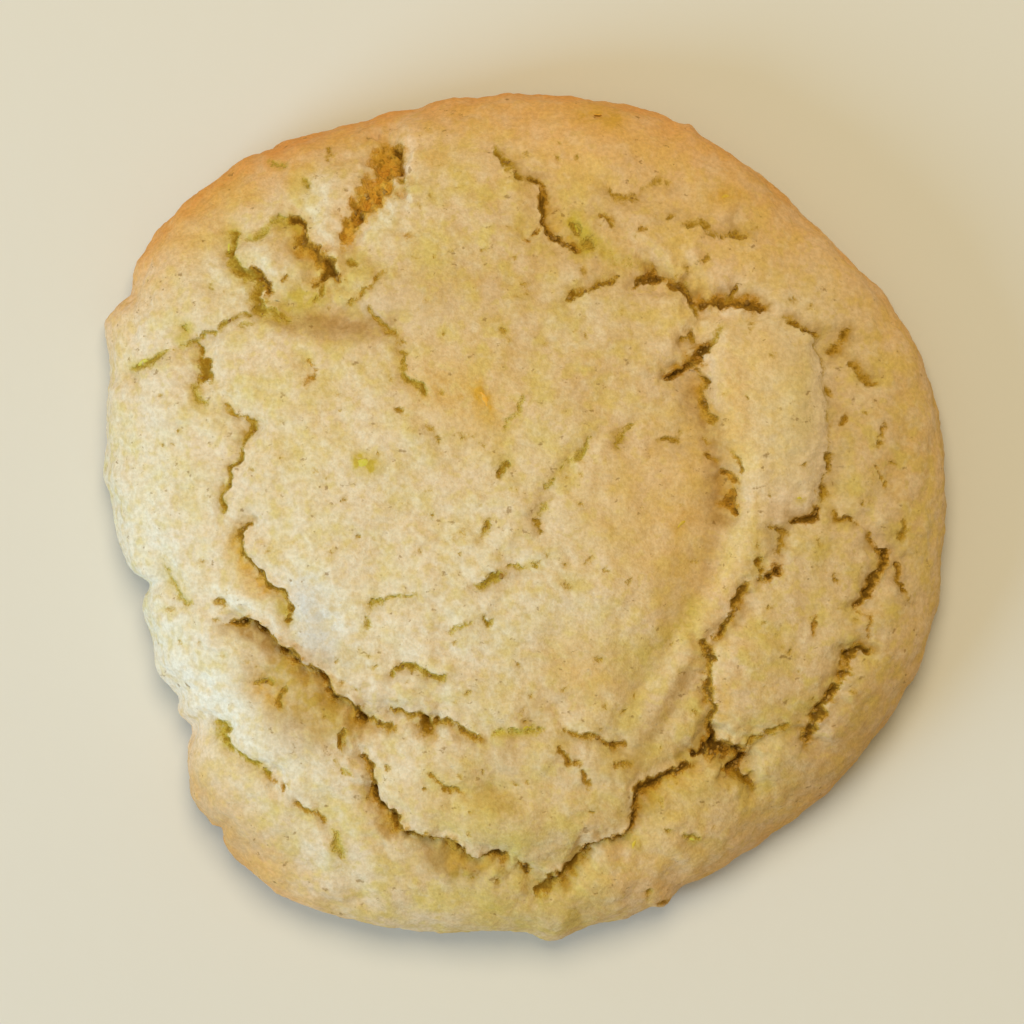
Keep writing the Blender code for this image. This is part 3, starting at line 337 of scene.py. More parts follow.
    "rightPlateCorner": (0.5, 0.5, 0, 0, ((24.3, -1, 0.3), (25.2, -1.2, 0.4), (25.9, -1.6, 0.4))),
    "rightPlateInner": (0.6, 0.6, 0, 0, ((25.2, -2, 0.3), (25.3, -2.8, 0.4), (25.1, -3.5, 0.4))),
    "rightPlateTop": (0.85, 1.1, -0.2, 0.3, (
        (26.5, -0.8, 0.4), (27.2, -0.5, 0.5), (27.9, -0.5, 0.9), (28.5, -0.3, 0.6), (28.9, 0.4, 0.45),
        (29.2, 0.9, 0.25))),
    "rightPlateBlob": (0.4, 0.7, 0, 0, ((29.9, 3, 0.4), (29.8, 2.4, 0.6))),
    "rightPlateRight": (0.7, 0.8, 0.4, -0.2, (
        (30.9, 0.7, 0.3), (31.3, -0.3, 0.5), (31.9, -0.2, 0.4), (32.4, -0.1, 0.4), (32.9, -0.4, 0.5),
        (33.3, -0.7, 0.3))),
    "rightPlateEdge": (0.85, 1.2, 0.3, -0.2, (
        (34.6, -2, 0.35), (35, -2.7, 0.45), (35.4, -3.3, 0.3), (36.1, -3.5, 0.7), (36.3, -4.3, 1.2),
        (35.8, -5.2, 1.0), (35.2, -6.1, 0.6), (34.6, -7, 0.7), (34.2, -8, 0.7), (33.7, -8.6, 0.5), (33, -9, 0.4))),
    "rightPlateHair": (0.8, 0.4, 0, 0, ((32.8, -9.1, 0.3), (34.1, -10.4, 0.2), (34.2, -12, 0.2))),
    "rightPlateDash": (0.8, 0.5, 0, 0, ((28.5, -10.4, 0.35), (28.7, -11, 0.3), (28.8, -11.9, 0.3))),
    "rightPlateDashUpper": (0.6, 0.5, 0, 0, ((30.5, -5.8, 0.3), (31, -6.2, 0.4), (31.4, -6.7, 0.4))),
    "rightPlateLowerRight": (0.8, 1.2, 0.5, -0.2, (
        (34, -13.4, 0.6), (33.2, -13.3, 0.6), (32.5, -13.9, 0.8), (32.1, -15, 0.8), (31.4, -16.2, 0.5),
        (30.8, -17.6, 0.5), (30.4, -18.2, 0.8), (29.9, -19, 0.6), (29.4, -20, 0.6), (28.8, -20.8, 0.7),
        (28.5, -21.7, 1.1), (28.5, -22.3, 0.9))),
    "rightPlateFoot": (0.4, 0.6, 0.1, 0, (
        (24, -21.6, 0.25), (25, -21.3, 0.35), (25.7, -20.9, 0.4), (26.5, -20.6, 0.25))),
    "rightPlateToe": (0.5, 0.6, 0.1, 0, ((21.8, -22.5, 0.4), (22.6, -22.3, 0.7), (23.3, -22.2, 0.4))),
    "farRight": (0.75, 0.7, 0.2, 0, (
        (37.2, -5.2, 0.3), (37.4, -6.3, 0.35), (37.9, -7.1, 0.6), (38.4, -7.7, 0.35), (38.7, -8.4, 0.2))),
    "farRightTop": (0.5, 0.5, 0, 0, ((37.7, -0.8, 0.4), (37.5, -2, 0.5))),
    "rightRimLine": (0.7, 0.4, 0, 0, ((35.1, 5, 0.2), (35.6, 4, 0.25), (35.9, 3.1, 0.3))),
    "rightRimDash": (0.6, 0.4, 0, 0, ((35.9, 9, 0.4), (35.5, 8.4, 0.2), (35.2, 7.6, 0.35), (35.4, 6.9, 0.2))),
    "holes": (1.0, 1.5, 0.3, -0.2, (
        (18.5, -22.2, 0.7), (18.6, -22.9, 0.9), (17.6, -23.4, 0.8), (16.6, -23.6, 0.5))),
    "holesRight": (1.0, 1.5, 0.2, -0.1, (
        (18.6, -23.2, 1.2), (19.7, -23.2, 1.3), (20.7, -23.5, 1.5), (21.5, -24.1, 1.3), (21.8, -24.9, 1.1))),
    "deepHole": (1, 1.9, 0.2, 0, ((20.6, -25.3, 1.0), (21.3, -25.3, 1.3))),
    "deepHoleFoot": (0.6, 1.2, 0.1, 0, ((21.8, -25.8, 1.1), (22.1, -26.5, 1.2), (22.5, -27, 1.0))),
    "lowerRightLine": (0.3, 0.5, 0.2, 0, ((15.7, -31.9, 0.3), (16.5, -32.1, 0.6), (17.2, -32, 0.4))),
    "lowerRightDash": (0.4, 0.4, 0, 0, ((13.9, -31.5, 0.3), (14.4, -31.3, 0.35))),
    "rimPit": (1, 0.4, 0, 0, ((13.7, -39, 0.6), (14.4, -38.8, 0.5))),
    "leftLowLine": (0.15, 0.3, 0.2, 0, (
        (-36.3, -4.7, 0.2), (-35.4, -6.3, 0.3), (-34.5, -7.9, 0.4), (-33.9, -8.3, 0.5), (-33.3, -8.4, 0.4))),
    "leftLowDash": (0.5, 0.4, 0, 0, ((-30.7, -8.3, 0.3), (-30.1, -8.7, 0.5))),
    "leftSlopeLine": (0.15, 0.7, 0.2, 0, (
        (-30.7, -20.4, 0.4), (-30.3, -20.9, 0.6), (-30.2, -22, 0.7), (-29.6, -23, 0.5), (-28.4, -23.9, 0.35),
        (-27, -24.8, 0.35), (-25.9, -25.9, 0.3))),
    "leftSlopeDots": (0.8, 0.5, 0, 0, ((-25.7, -26.1, 0.3), (-25.3, -26.5, 0.4))),
    "leftSlopeEnd": (0.8, 0.5, 0, 0, ((-24.5, -26.9, 0.3), (-24.3, -27.2, 0.4))),
    "bottomLeftLine": (0.7, 0.6, 0.2, 0, (
        (-22.8, -28.6, 0.4), (-22.6, -29, 0.3), (-21.8, -29.6, 0.3), (-20.8, -29.9, 0.3), (-19.9, -30.4, 0.45))),
    "bottomLeftBlob": (0.1, 0.3, 0, 0, ((-19, -31.8, 0.5), (-18.9, -32.8, 0.6), (-18.3, -33.8, 0.5))),
    "topRightLine": (0.6, 0.5, 0.1, 0, (
        (7.8, 32.7, 0.35), (8.5, 32, 0.3), (9.3, 31.6, 0.35), (10, 31.6, 0.3), (10.9, 32, 0.35))),
    "topRightLineEnd": (0.5, 0.4, 0.1, 0, (
        (11.6, 32.8, 0.3), (12.5, 33.4, 0.4), (13.5, 33.5, 0.35), (14.1, 33.3, 0.3), (15, 33.2, 0.2))),
    "topRightDash": (0.7, 0.6, 0, 0.3, ((7.3, 29.9, 0.2), (8, 29.9, 0.25), (8.3, 29.5, 0.4), (8.6, 29, 0.3))),
    "topRightDashLow": (0.7, 0.4, 0, 0, ((11.5, 28.5, 0.3), (11.9, 28.7, 0.5))),
    "topRightCurve": (0.7, 0.6, 0, 0.35, ((14.1, 29.4, 0.3), (14.7, 29.7, 0.3), (15.2, 29.9, 0.5))),
    "topRightCurveEnd": (0.5, 0.5, 0, 0.25, ((16.1, 29.1, 0.4), (17.2, 29.4, 0.3), (18.1, 28.8, 0.5))),
    "topRightTail": (0.5, 0.5, 0, 0.2, ((18.4, 27.9, 0.3), (19.6, 28.2, 0.45), (20.6, 28.5, 0.35))),
    "topRightTailEnd": (0.6, 0.5, 0, 0.2, ((20.7, 28.7, 0.3), (21.4, 28.2, 0.45), (22.1, 27.6, 0.35))),
    "topRightLow": (0.6, 0.4, 0, 0, ((17.6, 25.6, 0.3), (18.3, 26, 0.25))),
    "topLeftDash": (0.85, 0.5, 0, 0, ((-12, 27.8, 0.45), (-11.6, 27.6, 0.35), (-11.2, 27.3, 0.25))),
    "topLeftHair": (0.6, 0.4, 0, 0, ((-19.6, 36.2, 0.25), (-19.8, 35.7, 0.3), (-20, 35.2, 0.2))),
}
crackForm = {
    "fray": (  # size and reach of the wander that frays the route
        (3.1, 0.38), (1.5, 0.24), (0.75, 0.25), (0.4, 0.18), (0.24, 0.07)),
    "opening": ((2.4, 0.65), (0.9, 0.95)),  # size and share by which a crack opens and shuts along its route
    "openLimits": (0.12, 0.55, 1.8),  # least in a shallow crack, least in a deep one, and most
    "openDepth": 0.5,  # between those two, the least is the depth less this
    "power": 1.1,  # 1 gives sloping walls, and less gives steep ones and a flat floor
    "settle": 3.2,  # how far from a crack the lifted crust comes down again
    "margins": (12.0, 2.5),  # how far out a lifted crack is worked out, and a level one
    "sharp": 1.1,  # how far from a crack the lifted crust keeps its broken edge
    "ends": 2.2,  # how far from an end of the route the crust begins to stand up
    "shoulder": (0.42, 0.16, 1.0),  # share of the depth by which a lifted or a level edge dips, and over how far
    "carve": 0.9,  # share of its depth that is cut
    "ease": 1.1,  # how far the lifted crust is rounded
    "wall": 0.25,  # the same at its broken edge
    "rounding": 0.12,  # how far the cut's sharp corners are rounded
    "edgeHighlight": 0.8,  # width of the painted highlight along a lifted edge
    "highlightLift": 2.0,  # it shows in full from a lift of one in this many
    "shade": (0.75, 0.12),  # width of the painted shade on the low side, and its share where neither side is lifted
    "highReach": 0.2,  # how far the crumb's colour shows past the edge, on the lifted side
    "lowReach": (0.28, 0.8, 0.6),  # the same on the other side, what each half width adds, and up to which one
    "levelLess": 0.4,  # how much less of that is added where neither side is lifted
    "full": (0.3, 0.45),  # its colour is full over this share of the half width, or up to this far from the edge
    "faint": (4.0, 0.45, 0.55),  # its strength: this times the depth, at most this and this share of the depth
    "wide": (1.25, 0.5, 0.58),  # painted light in a wide tear: this less this share of the half width, and its least
    "shut": (0.4, 0.8),  # where a crack shuts, this and this share of the opening
    "toneBlur": 0.2,
    "crumb": ((0.9, 0.30), (0.45, 0.22)),  # size and height of the crumb on its floor
    "shatter": ((2.0, 0.26), (1.0, 0.16), (0.5, 0.08)),  # the same for the broken crust beside it
    "shatterReach": 1.9,
}

# Small baking marks: x, y, length, width and turn in degrees.
specks = (
    (-24.2, -2.3, 0.4, 0.4, 60), (-20.1, 1.6, 0.5, 0.35, 0), (-18.1, 1.6, 0.4, 0.3, 0), (-16.5, -1.9, 0.6, 0.35, 55),
    (-18.6, -8.8, 0.3, 0.35, 0), (-18.1, -8.6, 0.3, 0.3, 0), (-9.5, -0.1, 0.7, 0.3, 90), (-14.7, 6.1, 0.4, 0.3, 0),
    (-12.6, 1.4, 0.4, 0.3, 90), (-1.2, 2.5, 0.6, 0.25, -10), (-4.7, 1.4, 0.5, 0.35, 0), (5.6, 1.2, 0.8, 0.35, 40),
    (6.5, -4.5, 0.9, 0.4, 38), (3.8, -5, 0.4, 0.25, 0), (10.4, -6.5, 0.6, 0.35, -70), (8, -5.5, 0.5, 0.25, 0),
    (14.1, -12.7, 0.5, 0.45, -60), (14.6, -13.1, 0.4, 0.25, 0), (7.2, -14.3, 0.7, 0.4, 80),
    (-0.8, -14.9, 0.8, 0.35, -65), (-7.2, -12.3, 0.4, 0.4, 0), (-6, -17.3, 0.6, 0.4, 0), (-16.9, -17, 0.7, 0.25, -20),
    (-15.4, -14.9, 1.2, 0.25, 5), (-0.3, -19.2, 0.7, 0.4, -80), (-13.8, -24.9, 0.6, 0.35, -30),
    (-4.3, -25.4, 0.6, 0.35, -70), (0.3, -26.4, 0.4, 0.3, 90), (-10, -27.3, 0.25, 0.3, 0),
    (-6.3, -25.9, 0.3, 0.35, 90), (7.9, -18.7, 0.5, 0.25, 0), (9.7, -19.4, 0.7, 0.3, 0),
    (11.1, -18.1, 0.7, 0.25, -55), (13.3, -22.8, 0.7, 0.4, 55), (16.8, -19.5, 0.3, 0.35, 0),
    (26.3, -13.5, 0.3, 0.35, 0), (32.4, -17.8, 0.5, 0.4, -30), (26.5, 8.7, 0.7, 0.35, -40), (27.7, 5.3, 0.6, 0.3, 20),
    (20, 12.1, 0.4, 0.25, 90), (22.1, 11.8, 0.4, 0.25, 90), (22.3, 18.6, 0.5, 0.25, 90), (13.9, 11.8, 0.6, 0.35, 10),
    (33.4, 1.5, 0.6, 0.35, 60), (34, 10.4, 0.4, 0.4, 90), (30.3, 9.1, 0.6, 0.35, 20), (36.1, -27.3, 0.3, 0.3, 0),
    (1.7, 17, 0.3, 0.3, 0), (4.1, 19.5, 0.4, 0.35, 20), (5.9, 19.7, 0.3, 0.3, 0), (-2.3, 18.5, 0.7, 0.35, -30),
    (-1.6, 17.8, 0.4, 0.3, -60), (-8.2, 18, 0.8, 0.3, -75), (0, 22.3, 0.9, 0.3, -75), (-0.5, 22.9, 0.6, 0.3, -35),
    (-4.2, 26.5, 0.7, 0.35, 50), (-1.1, 25.7, 0.4, 0.35, 40), (-1.6, 28.5, 0.5, 0.45, 0), (4.6, 30.3, 0.3, 0.35, 50),
    (-11.3, 25.7, 0.4, 0.35, 30), (-9.5, 31.8, 0.6, 0.3, -25), (-10.7, 30.7, 0.8, 0.25, -80),
    (3.2, 35.6, 0.7, 0.25, -60), (5.2, 35.6, 0.5, 0.25, 0), (-13.6, 13.5, 0.3, 0.3, 0), (-15.9, 14.9, 0.6, 0.25, 80),
    (-8.5, 12.1, 0.3, 0.3, 0), (-30.6, -13.8, 0.3, 0.25, 0), (-30.2, -13.8, 0.2, 0.25, 0),
    (-34.9, -12.6, 0.3, 0.3, 0), (-31.1, -10.5, 0.5, 0.4, 70), (-34.7, 8.3, 0.3, 0.3, 0), (-36.9, 12, 0.7, 0.4, 30),
    (16.2, 24.7, 0.8, 0.35, 85), (5.8, 24.4, 0.6, 0.35, -60), (-25.3, 22.4, 0.3, 0.35, 0), (-30, 22.2, 0.3, 0.3, 0),
    (12.4, -37.7, 0.6, 0.4, -20), (-2.7, -36.6, 0.6, 0.4, 10),
)

# Short baking cracks strewn over the crown between them, most of them lying level as on the photographed one.
dashForm = {
    "count": 210,
    "length": (0.3, 1.1),
    "shorter": (0.3, 1.0),  # share of that length which a dash keeps
    "width": (0.22, 0.38),
    "endWidth": 0.8,  # share of the width at a dash's ends
    "leastLength": 0.1,  # between the middles of its two ends
    "depth": (0.06, 0.25),
    "tilt": 38,  # spread of their direction in degrees
    "within": 0.93,  # share of the radius
    "bow": 0.3,  # how far they bend, in half lengths
    "tone": 0.4,
    "speckDepth": 0.35,
}

crustLumps = ((9.0, 0.42), (3.6, 0.20), (1.8, 0.09), (0.8, 0.06))  # size and height
crustFlakes = ((5.5, 0.36), (2.3, 0.20), (1.1, 0.10))  # the same for flakes parted by sharp creases

# Where each pattern reads the noise, so that no two are alike. The lumps and flakes step along it with each of their
# sizes, and a pattern over the plan starts at a layer of its own.
noiseGain = 1.6  # brings the blended slopes up to about 1
lumpStart, flakeStart, layerStep = 31, 57, 1.37
sizeStep = 9  # layers from one size of a pattern to its next
noiseLayers = {
    "frayX": 2, "frayY": 3, "opening": 4, "crumb": 6, "shatter": 7, "pockets": 40, "stainX": 71, "stainY": 72,
}

underForm = {
    "pockets": ((2.6, 0.25, 0.9), (1.1, 0.35, 0.5)),  # air pockets: size, share of the noise that stays flat, height
    "clearRim": 12,  # power by which they stop short of the rim
    "browningAndShade": (0.85, 0.3),  # how brown the tray side is, and how much less in a pocket
}

# Soft colour in the crust: its kind, how far it spreads from its route, strength, and the route. The kinds are the
# dough's colours below. The brown ones are partly browning and partly painted shade in folds, valleys, beside
# steps and under lifted edges; the ash one is a painted cool shade; the blush ones are painted highlights on raised
# lips; the pale and butter ones are partly paler skin and partly painted light.
stainWander = (1.4, 0.45)  # size and reach of the wander in a stain's edge
stains = {
    "seamSlope": ("gold", 1.4, 0.2, ((-24.3, -15), (-22, -16.6), (-20.3, -18.4), (-18.3, -19.6), (-17, -20.6))),
    "seamShade": ("browningAndShade", 1.1, 1.2, ((-28.6, -11), (-26.6, -11.8), (-25, -13.2), (-23.6, -14.6))),
    "seamSlopeOlive": ("olive", 1.8, 0.4, ((-24.6, -15.6), (-22.0, -17.8), (-19.0, -20.6))),
    "seamSlopeTan": ("browningAndShade", 2.0, 1.0, ((-24.6, -15.2), (-22.6, -16.8), (-20.4, -18.8), (-17.8, -20.6))),
    "seamSlopeWide": ("browningAndShade", 3.2, 0.85, ((-25.0, -16.5), (-24.0, -18.5), (-21.5, -20.5))),
    "seamSlopeFoot": ("gold", 1.3, 0.2, ((-23.5, -17.5), (-21.2, -20), (-20.5, -21))),
    "domeSlope": ("gold", 1.0, 0.8, ((-29.2, -2.8), (-28.5, -4.6), (-27.3, -6.3), (-26.3, -7.2))),
    "slopeMark": ("gold", 1.4, 0.65, ((-26.6, -17.4), (-25.3, -18.3))),
    "hook": ("gold", 0.6, 0.5, ((-12.2, 15.2), (-12, 13.9), (-10.3, 12.9))),
    "rimPocket": ("gold", 0.8, 0.8, ((-14, -29.7), (-13.6, -30.8))),
    "rimPocketTan": ("browningAndShade", 1.0, 1.0, ((-14.0, -30.0), (-13.4, -31.2))),
    "underPlate": ("gold", 0.8, 0.7, ((-7, -34.6), (-5, -35), (-3.8, -35.1))),
    "rightWedge": ("gold", 0.8, 0.85, ((19.5, -17.3), (19.8, -18.5), (19.4, -19.8))),
    "topRim": ("gold", 1.5, 0.8, ((6.2, 40.1), (8.8, 39.4))),
    "topRightSpot": ("gold", 0.9, 0.8, ((18.7, 31.8), (20.6, 31.7))),
    "besideRift": ("gold", 1.1, 0.5, ((-10, 35.7), (-8.8, 35.5))),
    "lowerRightPlate": ("gold", 1.6, 0.7, ((12.5, -27.6), (15.5, -26.6))),
    "ridgeFoot": ("gold", 1.1, 0.5, ((15, -1), (16.4, -0.2))),
    "topCrackHollow": ("gold", 0.8, 0.7, ((2.7, 28.3), (3.8, 27.9), (4.8, 27.3))),
    "middle": ("gold", 0.8, 1.2, ((-4.6, 12.6), (-4.3, 11.8), (-3.8, 10.8))),
    "domeTopTan": ("browningAndShade", 4.5, 0.2, ((-14, 21.5), (-4, 22.5))),
    "domeGold": ("gold", 3.6, 0.6, ((-9, 12.6), (-6, 12), (-4, 10.5))),
    "hollowShade": ("gold", 1.6, 0.45, ((2.6, 30.8), (3.6, 29.4), (5.4, 28.2), (7.6, 26.6), (9.8, 25.6))),
    "valleyEnd": ("gold", 1.0, 0.5, ((19.9, 3.6), (20.1, 0.9))),
    "lowMiddle": ("gold", 3.2, 0.5, ((4.5, -14.5), (6.5, -15.8))),
    "topHollow": ("olive", 1.1, 1.25, ((4.7, 29.2), (5.4, 28.0), (6.2, 26.9))),
    "topHollowShade": ("browningAndShade", 1.5, 0.25, ((4.6, 28.2), (6.6, 26.8), (8.6, 25.6))),
    "topHollowTail": ("olive", 0.8, 0.5, ((6.3, 26.8), (8, 26), (9.3, 25.6))),
    "domeFoot": ("olive", 0.8, 0.7, ((-24.6, -8), (-23.9, -9.3), (-23.5, -10.3))),
    "lowerSeam": ("olive", 0.7, 0.8, ((-3, -21.8), (-1, -21.5), (0.6, -21.2))),
    "leftSlope": ("olive", 0.8, 0.6, ((-30.5, -21.2), (-30, -22.8))),
    "leftSlopeTail": ("olive", 0.6, 0.3, ((-29, -23.6), (-26.5, -25.4))),
    "leftLow": ("olive", 0.8, 0.4, ((-36.3, -4.6), (-35.4, -6.5), (-34.4, -7.9))),
    "valley": ("olive", 1.5, 0.6, ((10.5, -15), (12.5, -13.6), (15, -11.7), (16.6, -9.5))),
    "leftSeam": ("olive", 0.7, 0.8, ((-33.8, 18.5), (-34.4, 17.3))),
    "leftSeamTail": ("olive", 0.5, 0.6, ((-39.2, 14.9), (-36.5, 16))),
    "leftSpur": ("olive", 0.6, 0.7, ((-33.3, 12.7), (-32.9, 11.2))),
    "forkB": ("olive", 0.9, 0.75, ((-29.4, 28.5), (-29.4, 27), (-29.1, 25.4), (-28.3, 24.5), (-27, 23))),
    "forkA": ("gold", 0.8, 0.8, ((-22.8, 28.4), (-22.4, 26.8), (-21, 25.6), (-20, 24.4))),
    "forkATop": ("olive", 0.8, 0.7, ((-24.6, 29), (-23.4, 29.3), (-22.6, 28.6))),
    "forkFoot": ("olive", 1.0, 0.7, ((-25.6, 20.6), (-23.6, 20.4), (-21.6, 21.2))),
    "forkBFoot": ("olive", 0.9, 0.6, ((-26.8, 21.8), (-25.8, 20.6))),
    "forkGroove": ("olive", 0.45, 0.8, ((-27.4, 27.7), (-25.9, 28.2))),
    "forkMiddle": ("olive", 1.6, 0.8, ((-23, 21.9), (-20.8, 21.8))),
    "topLeft": ("olive", 1.3, 0.35, ((-10.5, 27), (-9.5, 25.2))),
    "forkRightOlive": ("olive", 1.2, 0.45, ((-17, 24.4), (-14.6, 24.6))),
    "bottomLeft": ("olive", 0.6, 0.6, ((-19, -31.8), (-18.8, -33))),
    "bottomGroove": ("olive", 0.8, 0.45, ((1.2, -38), (1, -40.6))),
    "underPlateRight": ("olive", 0.8, 0.6, ((10.5, -32.2), (11.2, -33.1))),
    "underPlateLeft": ("olive", 0.8, 0.5, ((-7, -35.9), (-5.6, -36.3))),
    "lowerRight": ("olive", 0.45, 0.8, ((16.3, -32.1), (17, -32.2))),
    "lowerRightTail": ("olive", 0.6, 0.5, ((18.2, -32.4), (19.5, -32.7))),
    "rightPlain": ("olive", 1.5, 0.3, ((30.8, 2.4), (34, 3.2))),
    "ridgeEnd": ("olive", 0.4, 0.7, ((26.9, 1.8), (27.5, 1.8))),
    "rightToe": ("olive", 0.7, 0.6, ((22, -22.4), (23.2, -22.3))),
    "deepFoot": ("olive", 0.6, 0.7, ((22.3, -25.8), (22.9, -26))),
    "greenSpot": ("olive", 0.95, 1.5, ((-16.2, 5.1), (-15.7, 5.1))),
    "domeMiddle": ("olive", 0.45, 0.7, ((-2.2, 5.3), (-1.6, 5))),
    "plateDimple": ("olive", 1.3, 0.5, ((-3.4, -26.6), (-2.6, -28.0), (-1.2, -28.6))),
    "plateDimpleShade": ("browningAndShade", 1.4, 0.8, ((-3.2, -27.4), (-2.2, -28.8))),
    "lowerRightWash": ("olive", 5.0, 0.38, ((12, -27), (22, -25))),
    "rimLowLeft": ("browningAndShade", 3.0, 0.4, ((-33, -28.5), (-28.5, -33.5))),
    "lowLeftPale": ("paleSkinAndLight", 4.0, 0.35, ((-21.5, -31), (-20, -35))),
    "plateWash": ("olive", 4.5, 0.38, ((-6, -30.5), (-1, -30.5))),
    "topGold": ("gold", 4.0, 0.05, ((4, 31.5), (8.5, 30.5))),
    "bottomWash": ("olive", 3.2, 0.5, ((-3.5, -38.6), (4.5, -38))),
    "bottomTan": ("browningAndShade", 3.0, 0.16, ((-3, -38.4), (4, -38))),
    # painted shade under the plate's rim
    "underPlateShade": ("browningAndShade", 1.2, 1.7, ((-9, -34.2), (-5.5, -35.4))),
    "plateTopTan": ("browningAndShade", 3.6, 0.2, ((-5.5, -24.5), (-0.5, -24.5))),
    "domeGoldLow": ("gold", 5.0, 0.25, ((9.5, 1.0), (12.0, -4.0))),
    "domeShade": ("olive", 0.6, 0.35, ((3.2, -6.4), (5.2, -7))),
    "leftSpot": ("olive", 0.7, 0.35, ((-34.6, 1.5), (-34, 1.9))),
    "lowSlopeSpot": ("olive", 0.7, 0.45, ((-18, -12.8), (-17.8, -13.9))),
    # painted shade in the fold above the dome's upper edge
    "upperFold": ("browningAndShade", 1.4, 0.8, ((-23.8, 20), (-21, 19), (-17, 18.8), (-13.5, 19))),
    "lowRightTan": ("browningAndShade", 3.5, 0.35, ((30.0, -24.5), (33.5, -20.0))),
    # painted shade in the valley on the ridge's left
    "ridgeValley": ("browningAndShade", 1.5, 0.95, ((17, 12), (18.2, 9), (18.8, 6.8), (19.6, 3.5), (19.6, 0))),
    "ridgeValleyLow": ("browningAndShade", 1.1, 0.45, ((19.2, -2.5), (17.6, -6.5), (15.4, -10.5))),
    # painted shade beside the plate's step
    "plateStep": ("browningAndShade", 1.6, 1.0, ((10.9, -24.8), (11.6, -26.8), (12.4, -28.2))),
    # painted shade down the fold between the dome and the right plate
    "lowerValley": ("browningAndShade", 0.9, 0.7, ((15.8, -16), (14.5, -18.5), (12.5, -21), (11.3, -23.2))),
    "plateFoot": ("browningAndShade", 0.7, 0.7, ((1.1, -36.4), (2.6, -36.9), (4.8, -35.4))),
    "domeRight": ("browningAndShade", 0.6, 0.6, ((9.2, 7.2), (10, 8.2))),
    "ridgeCorner": ("browningAndShade", 0.6, 0.5, ((26, 0.8), (25.6, -1.5), (25.3, -3.5))),
    "rightEdge": ("browningAndShade", 0.8, 0.55, ((36.9, -3.4), (37.3, -6))),
    "rightEdgeTop": ("browningAndShade", 0.8, 0.4, ((35.4, -1.8), (36.8, -1.6))),
    "farRightUpper": ("browningAndShade", 0.8, 0.65, ((32, 18.4), (30.8, 16.5))),
    "farRightLine": ("browningAndShade", 0.45, 0.5, ((32.5, 15), (34.6, 13.4))),
    "rightLow": ("browningAndShade", 0.7, 0.5, ((26, -27.4), (26.6, -27.2))),
    "topRightTail": ("browningAndShade", 0.4, 0.5, ((20.5, 30.5), (20.4, 29), (21.6, 28.2))),
    # painted shade under the seam's overhanging crust
    "overSeam": ("browningAndShade", 1.0, 0.9, ((-23.6, -13.2), (-22, -13.9), (-20.3, -14.7))),
    "bottomLeftRim": ("browningAndShade", 1.2, 0.2, ((-24.8, -31.4), (-24, -33))),
    # painted shade on the slope down from the ridge's right edge
    "rightStep": ("browningAndShade", 1.4, 0.3, ((30.8, 12.5), (31.2, 7), (30.6, 3.5))),
    "ridgeShade": ("browningAndShade", 0.8, 0.35, ((24.4, 0.5), (23.8, -2.2))),
    "riftFloor": ("amber", 1.7, 0.95, ((-14.2, 35.6), (-14.4, 33.2), (-15.8, 31.2))),
    "riftTail": ("amber", 0.9, 0.8, ((-16.6, 30.2), (-18.2, 27.6))),
    "chainGlow": ("amber", 0.8, 0.2, ((11.6, 23.6), (13.2, 23.7), (16.4, 22), (19.4, 21.2), (22.6, 21))),
    "holeGlow": ("amber", 0.9, 0.6, ((20.2, 4), (20.3, 1.2))),
    "forkGlow": ("amber", 0.7, 0.15, ((-22.4, 28.2), (-20.2, 25.4))),
    "rimGlow": ("amber", 0.7, 0.3, ((-13.2, -30.2), (-12.2, -31.2), (-7.4, -33))),
    "seamGlow": ("amber", 0.8, 0.45, ((-24.6, -13.2), (-22.2, -14.8), (-19.4, -17.4))),
    # painted highlights on the raised lips beside the rift
    "besideRiftRight": ("pinkHighlight", 0.7, 0.8, ((-11.5, 37.4), (-11.5, 34.6))),
    "besideRiftLow": ("paleSkinAndLight", 0.9, 0.6, ((-12.2, 31.6), (-14.6, 28.6))),
    "besideRiftLeft": ("pinkHighlight", 0.8, 0.7, ((-16.9, 34.6), (-17.6, 32.6), (-19, 29))),
    # painted cool shade at the foot of the dome's steep slope
    "steepFoot": ("coolShade", 2.2, 0.9, ((-22.2, -8.0), (-20.2, -12.6))),
    # lighter butter-yellow skin on the ridge's crown, partly painted light where it catches the lamps
    "ridgeCrown": ("butterAndLight", 3.4, 0.62, ((23.6, 16), (24.4, 11), (24.6, 5))),
    "ridgeLemon": ("olive", 1.8, 0.3, ((27.3, 15), (27.6, 9), (27.2, 4))),
    # painted highlights on the ridge's raised right lip
    "ridgeLipUpper": ("pinkHighlight", 0.9, 0.5, ((25.4, 20.6), (28.2, 19.6), (29.2, 17))),
    "ridgeLip": ("pinkHighlight", 1.1, 0.75, ((29.0, 15), (29.0, 10), (29.4, 6))),
    "ridgeLipLow": ("pinkHighlight", 1.8, 1.8, ((28.7, 5.6), (28.4, 3.6), (27.2, 1.8), (25.4, 0.8))),
    "ridgeSideGold": ("gold", 0.7, 0.8, ((17.2, 14), (17.6, 12), (18.4, 10))),
    "ridgeLeftGold": ("gold", 1.8, 0.5, ((20.6, 13.5), (20.8, 7))),
    "ridgeYellow": ("gold", 1.2, 0.35, ((23.4, 18), (24.4, 15.4))),
    "upperLeftTan": ("gold", 2.8, 0.4, ((-33.8, 27.2), (-29.5, 32.2))),
    # paler skin, partly painted light, with painted highlights on the fork's blocks
    "betweenSeams": ("paleSkinAndLight", 1.1, 0.8, ((-31, -7.3), (-27, -9), (-24.6, -11.6))),
    "forkBlock": ("paleSkinAndLight", 1.6, 0.48, ((-27.4, 25.8), (-24.5, 24.6))),
    "forkLeft": ("paleSkinAndLight", 1.5, 0.6, ((-31.4, 25), (-29.4, 21.8))),
    "forkRight": ("paleSkinAndLight", 1.4, 0.6, ((-20.6, 33.2), (-21, 30.6), (-19.6, 28.4))),
}
